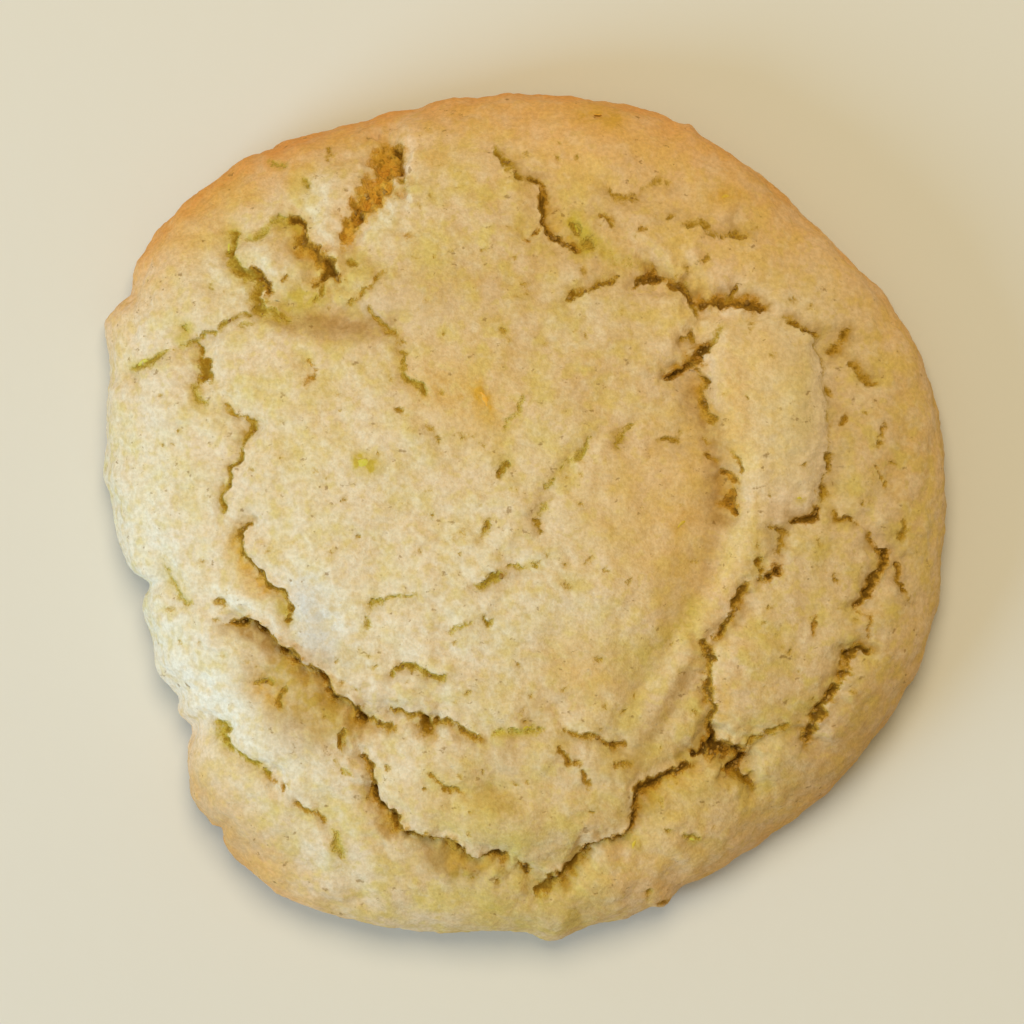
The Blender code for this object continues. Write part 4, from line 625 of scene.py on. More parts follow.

# Broad pale slopes that face the cool light, partly paler skin and partly painted light: x, y, half length, half
# width, turn in degrees and strength.
paleLitSlopes = {
    "left": (-38.0, -3.5, 7.0, 20.0, 8, 0.56),
    "lowerLeft": (-29.0, -20.0, 9.0, 4.5, -42, 0.7),
    "upperLeft": (-29.5, 22.5, 5.0, 7.0, -30, 0.38),
    "domeSteep": (-20.5, -9.5, 6.0, 3.2, -52, 0.68),
    "leftHalf": (-16.5, -2.0, 17.0, 18.0, 0, 0.32),
    "domeUpper": (-12.5, 11.5, 5.0, 4.5, 0, 0.2),
    "leftMiddle": (-23.0, 5.0, 7.0, 7.0, 0, 0.1),
    "ridge": (25.4, 9.0, 5.0, 9.0, 3, 0.42),
    "middleLow": (-2.0, -11.0, 12.0, 12.0, 0, 0.36),
    "plateRight": (5.5, -25.0, 4.5, 4.5, 0, 0.2),
    "domeUpperRight": (13.0, 12.5, 4.5, 5.0, 0, 0.22),
    "domeTopRight": (5.5, 20.5, 5.0, 4.0, 0, 0.2),
    "ridgeTop": (24.5, 20.5, 5.0, 3.5, 0, 0.28),
    "leftUpper": (-30.5, 11.5, 5.0, 5.0, 0, 0.17),
    "leftRimTop": (-39.5, 20.0, 3.0, 5.5, 0, 0.3),
    "lowLeftSlope": (-21.0, -24.8, 4.5, 4.0, -40, 0.28),
    "plateLeft": (-12.0, -24.5, 4.5, 4.5, 0, 0.25),
    "lowDome": (-14.5, -15.5, 5.0, 3.5, 0, 0.1),
    "topPlate": (-12.0, 30.0, 4.5, 4.5, 0, 0.2),
}
# Broad slopes with a warmer, apricot skin, partly browning and partly painted warm light, in the same form.
warmLitSlopes = {
    "top": (5.0, 38.0, 11.0, 4.5, -4, 0.5),
    "topRight": (20.0, 28.0, 14.0, 8.0, -38, 0.27),
    "right": (15.5, 2.0, 6.5, 15.0, 0, 0.3),
    "lowRight": (14.5, -34.0, 8.0, 5.0, 25, 0.34),
}
# Where the rim took colour in the oven: direction, spread in degrees and strength. Its colour is full up to the first
# share of the crown's height and fades out over the second.
rimBand = (0.1, 0.45)
rimBrowning = ((90, 36, 1.1), (135, 19, 1.4), (38, 30, 0.5), (-10, 30, 0.14), (-45, 30, 0.55), (228, 17, 1.1))

# Grated zest baked into the crust: x, y, length, width, turn in degrees, and how orange it is.
zestShreds = {
    "leftGreen": (-16.0, 5.2, 1.2, 0.9, 10, 0.0),
    "middleOrange": (-4.2, 11.6, 2.0, 0.6, -68, 0.9),
    "topOrange": (7.5, 39.9, 1.6, 0.5, -10, 0.9),
    "topHollow": (5.0, 28.4, 1.3, 0.45, -80, 0.1),
    "ridgeFoot": (15.5, -0.8, 1.3, 0.4, 40, 0.4),
    "topRight": (20.0, 31.8, 1.1, 0.45, 10, 0.5),
    "lowSeam": (0.3, -21.0, 1.4, 0.4, 8, 0.1),
    "lowerRight": (10.9, -32.6, 1.1, 0.4, 70, 0.3),
    "lineGreen": (16.6, -32.1, 0.7, 0.35, -10, 0.0),
    "forkYellow": (-29.3, 26.8, 1.3, 0.35, 85, 0.0),
    "leftMark": (-37.9, 15.3, 1.4, 0.4, 28, 0.1),
    "ridgeEnd": (27.2, 1.8, 0.6, 0.35, 0, 0.1),
}


def makeLattice(seed):
    # the random order and the 256 directions that the noise reads
    draw = np.random.default_rng(seed)
    order = draw.permutation(256)
    directions = draw.normal(size=(256, 3))
    return np.concatenate([order, order]), directions / np.linalg.norm(directions, axis=1)[:, None]


latticeOrder, latticeDirections = makeLattice(cookieForm["seed"])


def noise(x, y, z):
    # Gradient noise, about -1 to 1: at each corner of a unit cube a fixed direction gives a slope, and the eight
    # slopes are blended by 6t^5 - 15t^4 + 10t^3 along each axis.
    cell = [np.floor(a).astype(int) for a in (x, y, z)]
    inside = [a - c for a, c in zip((x, y, z), cell)]
    blend = [t * t * t * (t * (t * 6 - 15) + 10) for t in inside]
    total = np.zeros(x.shape)
    for corner in np.ndindex(2, 2, 2):
        i, j, k = ((c + d) & 255 for c, d in zip(cell, corner))
        slope = latticeDirections[latticeOrder[latticeOrder[latticeOrder[i] + j] + k]]
        value = sum(slope[:, a] * (inside[a] - corner[a]) for a in range(3))
        for t, d in zip(blend, corner):
            value = value * (t if d else 1 - t)
        total += value
    return noiseGain * total


def flatNoise(x, y, size, layer):
    # noise over the plan, with patches about `size` across; each layer is a field of its own
    return noise(x / size, y / size, np.full(x.shape, layerStep * layer))


def plainRadius(angle):
    # the outline without its nicks: a smooth closed curve (Catmull-Rom) through the radii
    radii = np.array(cookieForm["outline"])
    place = angle / (2 * np.pi) * len(radii)
    first = np.floor(place).astype(int)
    f = place - first
    before, here, after, beyond = (radii[(first + k) % len(radii)] for k in (-1, 0, 1, 2))
    return 0.5 * (
        2 * here
        + (after - before) * f
        + (2 * before - 5 * here + 4 * after - beyond) * f**2
        + (3 * here - before - 3 * after + beyond) * f**3
    )


def bellsRound(angle, bells):
    # a sum of bells round the rim, each with its direction and spread in degrees and its height
    total = np.zeros(angle.shape)
    for direction, spread, height in bells:
        away = (np.degrees(angle) - direction + 180) % 360 - 180
        total += height * np.exp(-((away / spread) ** 2))
    return total


def sideView(t):
    # The section from the middle of the crown (t = 0) to the edge of the base (t = 1) at even steps of length: a
    # superellipse quarter for the crown, then a quarter ellipse that curls down and in. It gives the share of the
    # radius, of the crown's height, of the curl inwards and of the way down from the widest point.
    width, _, height = cookieForm["size"]
    turn = np.linspace(0, np.pi, cookieForm["sectionSteps"])
    crown = turn <= np.pi / 2
    under = np.where(crown, 0, turn - np.pi / 2)
    reach = np.where(crown, np.sin(turn) ** (2 / cookieForm["fullness"]), 1.0)
    rise = np.where(crown, np.maximum(np.cos(turn), 0) ** (2 / cookieForm["fullness"]), 0.0)
    tuck, drop = 1 - np.cos(under), np.sin(under)
    r = width / 2 * reach - cookieForm["tuck"] * tuck
    z = (height - cookieForm["edgeHeight"]) * rise - cookieForm["edgeHeight"] * drop
    length = np.concatenate([[0], np.cumsum(np.hypot(np.diff(r), np.diff(z)))])
    return [np.interp(t * length[-1], length, a) for a in (reach, rise, tuck, drop)]


def discFromSquare(u, v):
    # a square grid as rings and angles: the squares round the middle become rings
    ring = np.maximum(np.abs(u), np.abs(v))
    safe = np.where(ring > 0, ring, 1)
    wide = np.abs(u) >= np.abs(v)
    share = np.where(wide, v * np.sign(u), -u * np.sign(v)) / safe
    start = np.where(wide, np.where(u < 0, np.pi, 0), np.where(v < 0, 1.5 * np.pi, 0.5 * np.pi))
    return ring, (start + share * np.pi / 4) % (2 * np.pi)


def follow(route, x, y):
    # distance from each point to a route, the side it is on (+1 left), how far along it is, and the route's length
    nearest, side, along = np.full(x.shape, np.inf), np.zeros(x.shape), np.zeros(x.shape)
    corners = np.array(route, dtype=float)
    steps = np.diff(corners, axis=0)
    lengths = np.hypot(steps[:, 0], steps[:, 1])
    passed = 0.0
    for (ax, ay), (sx, sy), length in zip(corners, steps, lengths):
        t = np.clip(((x - ax) * sx + (y - ay) * sy) / length**2, 0, 1)
        across = (sx * (y - ay) - sy * (x - ax)) / length
        distance = np.hypot(x - ax - t * sx, y - ay - t * sy) - 1e-3 * np.abs(across)  # settles ties
        closer = distance < nearest
        nearest = np.where(closer, distance, nearest)
        side = np.where(closer, np.sign(across), side)
        along = np.where(closer, passed + t * length, along)
        passed += length
    return np.maximum(nearest, 0), side, along, passed


def patchSum(x, y, patches, power=2):
    # soft patches, each falling off as exp(-d^power) of its own elliptical distance d
    total = np.zeros(x.shape)
    for px, py, half, wide, turn, strength, *own in patches.values():
        c, n = np.cos(np.radians(turn)), np.sin(np.radians(turn))
        along = ((x - px) * c + (y - py) * n) / half
        across = (-(x - px) * n + (y - py) * c) / wide
        total += strength * np.exp(-np.hypot(along, across) ** (own[0] if own else power))
    return total


def foldHeight(x, y):
    # each fold's height runs evenly from one end to the other and falls off as exp(-(distance / spread)^2)
    height = np.zeros(x.shape)
    for spread, first, last, route in folds.values():
        distance, _, along, length = follow(route, x, y)
        height += (first + (last - first) * along / length) * np.exp(-((distance / spread) ** 2))
    return height


def scatterDashes():
    # the measured marks, then short cracks with seeded places, directions and sizes, in the form of the cracks' table
    draw = np.random.default_rng(cookieForm["seed"] + 1)
    marks = [(*speck, dashForm["speckDepth"], 0) for speck in specks]
    for _ in range(dashForm["count"]):
        angle = draw.uniform(0, 2 * np.pi)
        r = min(cookieForm["outline"]) * dashForm["within"] * np.sqrt(draw.uniform())
        length = draw.uniform(*dashForm["length"]) * draw.uniform(*dashForm["shorter"])
        marks.append((
            r * np.cos(angle), r * np.sin(angle), length, draw.uniform(*dashForm["width"]),
            draw.normal(0, dashForm["tilt"]), draw.uniform(*dashForm["depth"]), draw.uniform(-1, 1)))
    dashes = {}
    for i, (x, y, length, width, turn, depth, bend) in enumerate(marks):
        c, n = np.cos(np.radians(turn)), np.sin(np.radians(turn))
        half = max(length - width, dashForm["leastLength"]) / 2
        bow, end = bend * dashForm["bow"] * half, dashForm["endWidth"] * width
        route = (
            (x - half * c, y - half * n, end), (x - bow * n, y + bow * c, width), (x + half * c, y + half * n, end))
        dashes[f"dash{i}"] = (dashForm["tone"], depth, 0, 0, route)
    return dashes


def layered(x, y, layers, first):
    # a sum of noises over the plan, each with its size and height
    return sum(high * flatNoise(x, y, size, first + sizeStep * i) for i, (size, high) in enumerate(layers))


def soften(field, reach):
    # averages a grid with its neighbours under a bell of weights, along one axis and then the other
    side = cookieForm["squares"] + 1
    cells = max(round(reach * side / cookieForm["size"][0]), 1)
    offsets = np.arange(-2 * cells, 2 * cells + 1)
    weights = np.exp(-((offsets / cells) ** 2))
    grid = field.reshape(side, side)
    for _ in range(2):
        padded = np.pad(grid, ((2 * cells, 2 * cells), (0, 0)), mode="edge")
        grid = sum(w * padded[k:k + side] for k, w in enumerate(weights / weights.sum())).T
    return grid.ravel()


def carveCracks(x, y, table):
    # Each crack is a cut along a route frayed by noise: its depth times (1 - (distance / half width)^2)^power. The
    # crust is lifted on either side and settles as exp(-distance / settle), dips at the cut's shoulder as
    # exp(-(distance / reach)^2), and is crumbly on the floor. Gives the height, how torn the crust is, the tone of the
    # crumb, and where a painted highlight lies along a lifted edge and painted shade on the low side.
    form = crackForm
    height, lifted, sharp, torn, tone, edgeHighlight, shade = (np.zeros(x.shape) for _ in range(7))
    frayedX = x + layered(x, y, form["fray"], noiseLayers["frayX"])
    frayedY = y + layered(x, y, form["fray"], noiseLayers["frayY"])
    opening = 1 + layered(x, y, form["opening"], noiseLayers["opening"])
    crumb, shatter = (layered(x, y, form[name], noiseLayers[name]) for name in ("crumb", "shatter"))
    leastShallow, leastDeep, most = form["openLimits"]
    liftedDip, levelDip, dipReach = form["shoulder"]
    shadeReach, shadeShare = form["shade"]
    lowReach, lowShare, lowMost = form["lowReach"]
    fullShare, fullEdge = form["full"]
    faintTimes, faintBase, faintShare = form["faint"]
    wideBase, wideShare, wideLeast = form["wide"]
    shutBase, shutShare = form["shut"]
    for toneHere, depth, left, right, route in table.values():
        knots = np.array(route, dtype=float)
        isLifted = bool(left or right)
        margin = 2 * knots[:, 2].max() + form["margins"][0 if isLifted else 1]
        low, high = knots[:, :2].min(axis=0) - margin, knots[:, :2].max(axis=0) + margin
        near = np.flatnonzero((x > low[0]) & (x < high[0]) & (y > low[1]) & (y < high[1]))
        distance, side, along, length = follow(knots[:, :2], frayedX[near], frayedY[near])
        passed = np.concatenate([[0], np.cumsum(np.hypot(*np.diff(knots[:, :2], axis=0).T))])
        gape = np.clip(opening[near], np.clip(depth - form["openDepth"], leastShallow, leastDeep), most)
        half = 0.5 * np.interp(along, passed, knots[:, 2]) * gape
        cut = np.clip(1 - (distance / half) ** 2, 0, 1) ** form["power"] * np.minimum(gape, 1)
        beside = np.maximum(distance - half, 0)
        settle = np.clip(np.minimum(along, length - along) / form["ends"], 0, 1) ** 2
        lift = np.where(side > 0, left, right)
        lifted[near] += lift * np.exp(-beside / form["settle"]) * settle
        if isLifted:
            sharp[near] = np.maximum(sharp[near], np.exp(-((beside / form["sharp"]) ** 2)))
        deep = min(depth, 1)
        dip = depth * (liftedDip if isLifted else levelDip)
        height[near] -= form["carve"] * depth * cut
        height[near] -= dip * np.exp(-((beside / dipReach) ** 2)) * (distance > half)
        height[near] += crumb[near] * cut * deep * (1 + half)
        height[near] += shatter[near] * deep * np.exp(-((beside / form["shatterReach"]) ** 2)) * (1 - cut)
        # the crumb's colour lies up to the lifted edge, spreads over the other, and is lighter in a wide tear, as
        # painted light on its open floor
        towards = side * np.sign(left - right)
        spread = lowReach + lowShare * np.minimum(half, lowMost) * (1 - form["levelLess"] * (towards == 0))
        reach = np.where(towards > 0, form["highReach"], spread)
        full = np.maximum(fullShare * half, half - fullEdge)
        strength = np.clip(1 - np.maximum(distance - full, 0) / (half - full + reach), 0, 1)
        strength *= min(faintTimes * depth, faintBase + faintShare * depth, 1) * np.clip(
            wideBase - wideShare * half, wideLeast, 1)
        strength *= np.clip(shutBase + shutShare * gape, 0, 1)
        tone[near] = np.where(strength > torn[near], toneHere, tone[near])
        torn[near] = np.maximum(torn[near], strength)
        # a painted highlight along the lifted edge
        edge = np.exp(-((beside / form["edgeHighlight"]) ** 2)) * (distance > half)
        edgeHighlight[near] = np.maximum(edgeHighlight[near], edge * np.clip(form["highlightLift"] * lift, 0, 1) * settle)
        # painted shade on the crack's low side
        paintedLowShade = deep * np.exp(-((beside / shadeReach) ** 2)) * np.where(towards < 0, 1, shadeShare)
        shade[near] = np.maximum(shade[near], paintedLowShade * (towards <= 0))
    eased, steep = soften(lifted, form["ease"]), soften(lifted, form["wall"])
    height = soften(height, form["rounding"]) + eased + (steep - eased) * sharp
    return height, torn, soften(tone, form["toneBlur"]), edgeHighlight, shade


def stainShares(x, y):
    # each kind of stain, as strength times exp(-(distance / reach)^2) of the strongest one
    shares = {kind: np.zeros(x.shape) for kind, *_ in stains.values()}
    size, far = stainWander
    wanderX = x + far * flatNoise(x, y, size, noiseLayers["stainX"])
    wanderY = y + far * flatNoise(x, y, size, noiseLayers["stainY"])
    for kind, reach, strength, route in stains.values():
        distance = follow(route, wanderX, wanderY)[0]
        shares[kind] = np.maximum(shares[kind], strength * np.exp(-((distance / reach) ** 2)))
    return shares


def gridNormals(points):
    # unit normals of a grid of points, from the cross product of its two directions of travel
    side = cookieForm["squares"] + 1
    grid = points.reshape(side, side, 3)
    normals = np.cross(np.gradient(grid, axis=0), np.gradient(grid, axis=1)).reshape(-1, 3)
    return normals / np.maximum(np.linalg.norm(normals, axis=1), 1e-9)[:, None]


def shapeCrown(u, v):
    # The crown's sheet: the side view carried round the outline, swellings and folds added in height, and lumps and
    # cracks pushed along the smooth surface's normal. It also gives what the finish reads.
    form = cookieForm
    ring, angle = discFromSquare(u, v)
    reach, rise, tuck, drop = sideView(ring)
    nicks = bellsRound(angle, form["nicks"]) * reach ** form["nickReach"]
    r = plainRadius(angle) * reach + nicks - form["tuck"] * tuck
    x, y = r * np.cos(angle), r * np.sin(angle)
    wobble = form["edgeWobble"] * noise(2 * np.cos(angle), 2 * np.sin(angle), 0 * angle)
    z = (form["edgeHeight"] + wobble) * (1 - drop) * (1 - rise) + form["size"][2] * rise
    relief = patchSum(x, y, swellings) + soften(foldHeight(x, y), form["foldSoftness"])
    z += relief * np.clip(form["reliefFade"] * rise, 0, 1)
    smooth = np.stack([x, y, z], axis=1)
    lumps = sum(high * noise(*(smooth / size + lumpStart * i).T) for i, (size, high) in enumerate(crustLumps))
    lumps += sum(
        high * np.abs(noise(*(smooth / size + flakeStart * i).T)) for i, (size, high) in enumerate(crustFlakes))
    cutDown, torn, tone, edgeHighlight, shade = carveCracks(x, y, {**cracks, **scatterDashes()})
    onCrust = 1 - drop
    points = smooth + gridNormals(smooth) * ((lumps + cutDown) * onCrust)[:, None]
    shares = stainShares(x, y)
    shares["browningAndShade"] += form["bakedSide"] * drop
    bandFoot, bandFade = rimBand
    shares["rim"] = bellsRound(angle, rimBrowning) * (1 - np.clip((rise - bandFoot) / bandFade, 0, 1)) * onCrust
    shares["paleSkinAndLight"] = np.maximum(shares["paleSkinAndLight"], patchSum(x, y, paleLitSlopes)) * onCrust
    shares["apricotAndLight"] = patchSum(x, y, warmLitSlopes) * onCrust
    return points, {"torn": torn * onCrust, "tone": tone, "edgeHighlight": edgeHighlight * onCrust, "shade": shade * onCrust, **shares}


def shapeUnderside(u, v):
    # The underside's sheet lies on the tray, with shallow air pockets where the noise is high, which fade towards
    # the rim as 1 - ring^power.
    ring, angle = discFromSquare(u, v)
    r = (plainRadius(angle) + bellsRound(angle, cookieForm["nicks"]) - cookieForm["tuck"]) * ring
    x, y = r * np.cos(angle), r * np.sin(angle)
    inside = 1 - ring ** underForm["clearRim"]
    z = sum(
        high * np.clip(flatNoise(x, y, size, noiseLayers["pockets"] + i) - flat, 0, 1)
        for i, (size, flat, high) in enumerate(underForm["pockets"]))
    browningAndShade, less = underForm["browningAndShade"]
    look = {"browningAndShade": browningAndShade - less * np.clip(z, 0, 1)}
    return np.stack([x, y, z * inside], axis=1), look


def fitToSolid(points):
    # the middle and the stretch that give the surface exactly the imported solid's box
    low, high = points.min(axis=0), points.max(axis=0)
    middle = np.append((low + high)[:2] / 2, low[2])
    return middle, np.array(cookieForm["size"]) / (high - low)


def fillMesh(name, points, faces):
    # points in millimetres and faces as rows of vertex numbers, put into a new mesh in metres
    mesh = bpy.data.meshes.new(name)
    mesh.vertices.add(len(points))
    mesh.vertices.foreach_set("co", (points * mm).astype(np.float32).ravel())
    mesh.loops.add(faces.size)
    mesh.loops.foreach_set("vertex_index", faces.astype(np.int32).ravel())
    mesh.polygons.add(len(faces))
    mesh.polygons.foreach_set("loop_start", np.arange(len(faces), dtype=np.int32) * faces.shape[1])
    mesh.update(calc_edges=True)
    mesh.validate()
    mesh.shade_smooth()
    return mesh


def addValues(mesh, name, values):
    # one number for each vertex, which the finish reads by its name
    mesh.attributes.new(name, "FLOAT", "POINT").data.foreach_set("value", values.astype(np.float32))


def gridFaces(numbers):
    # quads between the neighbours of a square array of vertex numbers
    return np.stack([numbers[:-1, :-1], numbers[1:, :-1], numbers[1:, 1:], numbers[:-1, 1:]], axis=-1).reshape(-1, 4)


def addPiece(name, mesh, material):
    # puts a finished mesh with its material into the scene, on the part's one body
    piece = bpy.data.objects.new(name, mesh)
    bpy.context.scene.collection.objects.link(piece)
    piece.data.materials.append(material)
    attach(piece, "root")
    return piece


def thinMesh(piece, triangles):
    # collapses the fine mesh where it is smooth, so that its triangles stay at the cracks
    modifier = piece.modifiers.new("thin", "DECIMATE")
    modifier.ratio = triangles / (2 * len(piece.data.polygons))  # a square counts as two
    modifier.use_collapse_triangulate = True
    thinned = bpy.data.meshes.new_from_object(piece.evaluated_get(bpy.context.evaluated_depsgraph_get()))
    piece.modifiers.clear()
    piece.data = thinned


def buildCookie(material):
    # two square grids, bent over the crown and across the underside, share their outer ring of vertices
    squares = cookieForm["squares"]
    side = squares + 1
    steps = np.linspace(-1, 1, side)
    u, v = (a.ravel() for a in np.meshgrid(steps, steps, indexing="ij"))
    crown, crownLook = shapeCrown(u, v)
    under, underLook = shapeUnderside(u, v)
    middle, stretch = fitToSolid(crown)
    crown, under = ((points - middle) * stretch for points in (crown, under))
    inner = np.maximum(np.abs(u), np.abs(v)) < 1 - 1 / squares
    numbers = np.arange(side * side)
    underNumbers = np.where(inner, side * side + np.cumsum(inner) - 1, numbers)
    faces = np.concatenate([
        gridFaces(numbers.reshape(side, side)), gridFaces(underNumbers.reshape(side, side))[:, ::-1]])
    mesh = fillMesh("cookieCrust", np.concatenate([crown, under[inner]]), faces)
    for name, values in crownLook.items():
        addValues(mesh, name, np.concatenate([values, underLook.get(name, np.zeros(len(u)))[inner]]))
    addSheetMap(mesh, u, v, underNumbers, faces)
    piece = addPiece("cookieCrust", mesh, material)
    thinMesh(piece, cookieForm["triangles"])
    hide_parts("cookie")
    print("crust:", len(piece.data.polygons), "triangles")
    return crown, gridNormals(crown), crownLook


def addSheetMap(mesh, u, v, underNumbers, faces):
    # the crown's grid fills most of the map as a square, and the underside's a small square beside it
    crownShare, underShare, gap = 0.74, 0.24, 0.005
    place = np.stack([u, v], axis=1) / 2 + 0.5
    crownPlace = gap + crownShare * place
    underPlace = np.array([crownShare + 2 * gap, gap]) + underShare * place
    numberInGrid = np.empty(underNumbers.max() + 1, dtype=int)
    numberInGrid[underNumbers] = np.arange(len(underNumbers))
    half = len(faces) // 2
    corners = np.concatenate([
        crownPlace[faces[:half].ravel()], underPlace[numberInGrid[faces[half:].ravel()]]])
    layer = mesh.uv_layers.new(name="OFBake")
    layer.data.foreach_set("uv", corners.astype(np.float32).ravel())


def linear(hexColour):
    # sRGB hex to linear colour
    values = [int(hexColour[i:i + 2], 16) / 255 for i in (0, 2, 4)]
    return (*[v / 12.92 if v <= 0.04045 else ((v + 0.055) / 1.055) ** 2.4 for v in values], 1)


def addNode(tree, kind, settings=None, inputs=None):
    # a node with its settings and inputs: a socket is linked, and anything else is a value
    node = tree.nodes.new(kind)
    for name, value in (settings or {}).items():
        setattr(node, name, value)
    for name, value in (inputs or {}).items():
        if isinstance(value, bpy.types.NodeSocket):
            tree.links.new(value, node.inputs[name])
        else:
            node.inputs[name].default_value = value
    return node


def newMaterial(name):
    # a new material with its tree, its shader and the place in the piece that patterns read
    material = bpy.data.materials.new(name)
    material.use_nodes = True
    tree = material.node_tree
    shader = tree.nodes["Principled BSDF"]
    place = addNode(tree, "ShaderNodeTexCoord").outputs["Object"]
    return material, tree, shader, place


# Lemon shortbread dough, spooned out and baked: a dry, sandy skin that is pale where it rose and tan where it
# browned, with a moist crumb inside its cracks. Some tones are painted light and shade: the pale, apricot and butter
# skins are partly painted light, the lip and blush tones are painted highlights, the ash and shade tones are painted
# shade, and the brown tone and the crumb's dark cores are partly painted shade. A ramp is where in a pattern a tone
# begins and where it is full.
doughLook = {
    "skin": "DFC592", "tan": "DAB97F", "cream": "E6D3AC", "lemon": "D9C16C", "pink": "E3C9A6",
    "paleSkinAndLight": "EEE8D6", "coolShade": "D5D1CA", "butterAndLight": "F5D794", "pinkHighlight": "F2DDC2", "apricotAndLight": "F3C083",
    "browningAndShade": "B8945A", "shade": "B6924C", "rim": "E8A75E", "gold": "D8AA40", "olive": "CAB146",
    "edgeHighlight": "E8CFB0", "amber": "E6B040", "mark": "8E6A2C", "sandLight": "FFFFFF", "sandDark": "E4E1D9",
    "sides": ("C9B144", "C7A036", "CD9728"),  # of the crumb at a crack's edges: olive, golden and dark
    "shadedCores": ("957C1C", "9B7312", "6C4C0A"),  # the same deep in it, darker, partly painted shade
    "patterns": {  # size in millimetres and detail of each noise
        "patch": (11.0, 2.0), "blotch": (2.6, 1.5), "tint": (1.1, 1.0), "hue": (4.5, 1.0), "crumple": (1.3, 3.0),
        "sand": (0.42, 1.0), "grit": (0.2, 1.0), "fray": (0.3, 2.0), "pit": (1.1, 2.5),
        "fleck": (0.85, 3.0), "gate": (5.0, 1.0),
    },
    "mottling": (  # tones laid over the skin in turn: pattern, ramp, the most of it, and the colour
        ("patch", 0.35, 0.65, 1.0, "tan"), ("hue", 0.5, 0.68, 0.55, "lemon"), ("hue", 0.5, 0.32, 0.6, "pink"),
        ("blotch", 0.5, 0.68, 0.75, "lemon"), ("blotch", 0.5, 0.34, 0.6, "pink"),
        ("tint", 0.52, 0.7, 0.45, "cream"), ("tint", 0.46, 0.3, 0.5, "lemon"),
    ),
    "stains": (  # kinds of stain in the order they are laid, the pattern that breaks each up, its least and its most
        ("apricotAndLight", "blotch", 0.7, 1.1), ("butterAndLight", "blotch", 0.5, 0.9), ("paleSkinAndLight", "tint", 0.55, 1.15),
        ("pinkHighlight", "tint", 0.6, 1.1), ("coolShade", "tint", 0.6, 1.0), ("rim", "blotch", 0.6, 0.95),
        ("browningAndShade", "tint", 0.5, 1.1), ("shade", "tint", 0.2, 1.0), ("gold", "tint", 0.45, 1.1),
        ("olive", "tint", 0.35, 1.15),
    ),
    "patternRoughness": 0.6,
    "stainRamp": (0.3, 0.62),  # of the pattern that breaks a stain up
    "highlightShare": 0.45,  # the most of the painted highlight along a lifted edge
    "fleckRamp": (0.68, 0.77), "fleckShare": 0.6, "fleckStretch": (0.8, 1.0, 1.0),  # small dark baking flecks
    "gateRamp": (0.35, 0.65), "gateLift": (0.0, 0.06),  # flecks are thicker in some patches, by this much
    "frayShare": 0.75, "frayRamp": (0.02, 0.3),  # how far a crack's edge is frayed, and over which part of the tear
    "sideRamp": (0.06, 0.78), "coreRamp": (0.52, 0.96),  # of the tear, for the crumb's two tones
    "glowRamp": (0.1, 0.5), "pitRamp": (0.4, 0.54), "pitRange": (0.1, 1.0),  # for the amber in it and its dark pits
    "grainRamp": (0.25, 0.75), "sandRange": (0.0, 0.65), "gritRange": (0.05, 0.3),
    "bump": 0.045,  # height of the sand in millimetres, and the rest as shares of it:
    "gritBump": 0.5, "crumpleBump": 2.2, "fleckBump": -0.3, "tornBump": -3.0, "tornRamp": (0.3, 0.8),
    "roughness": 0.85, "specular": 0.2,
    "scatter": 0.06, "scatterReach": (0.7, 0.5, 0.3), "scatterScale": 0.8,  # light in the dough, in millimetres
}


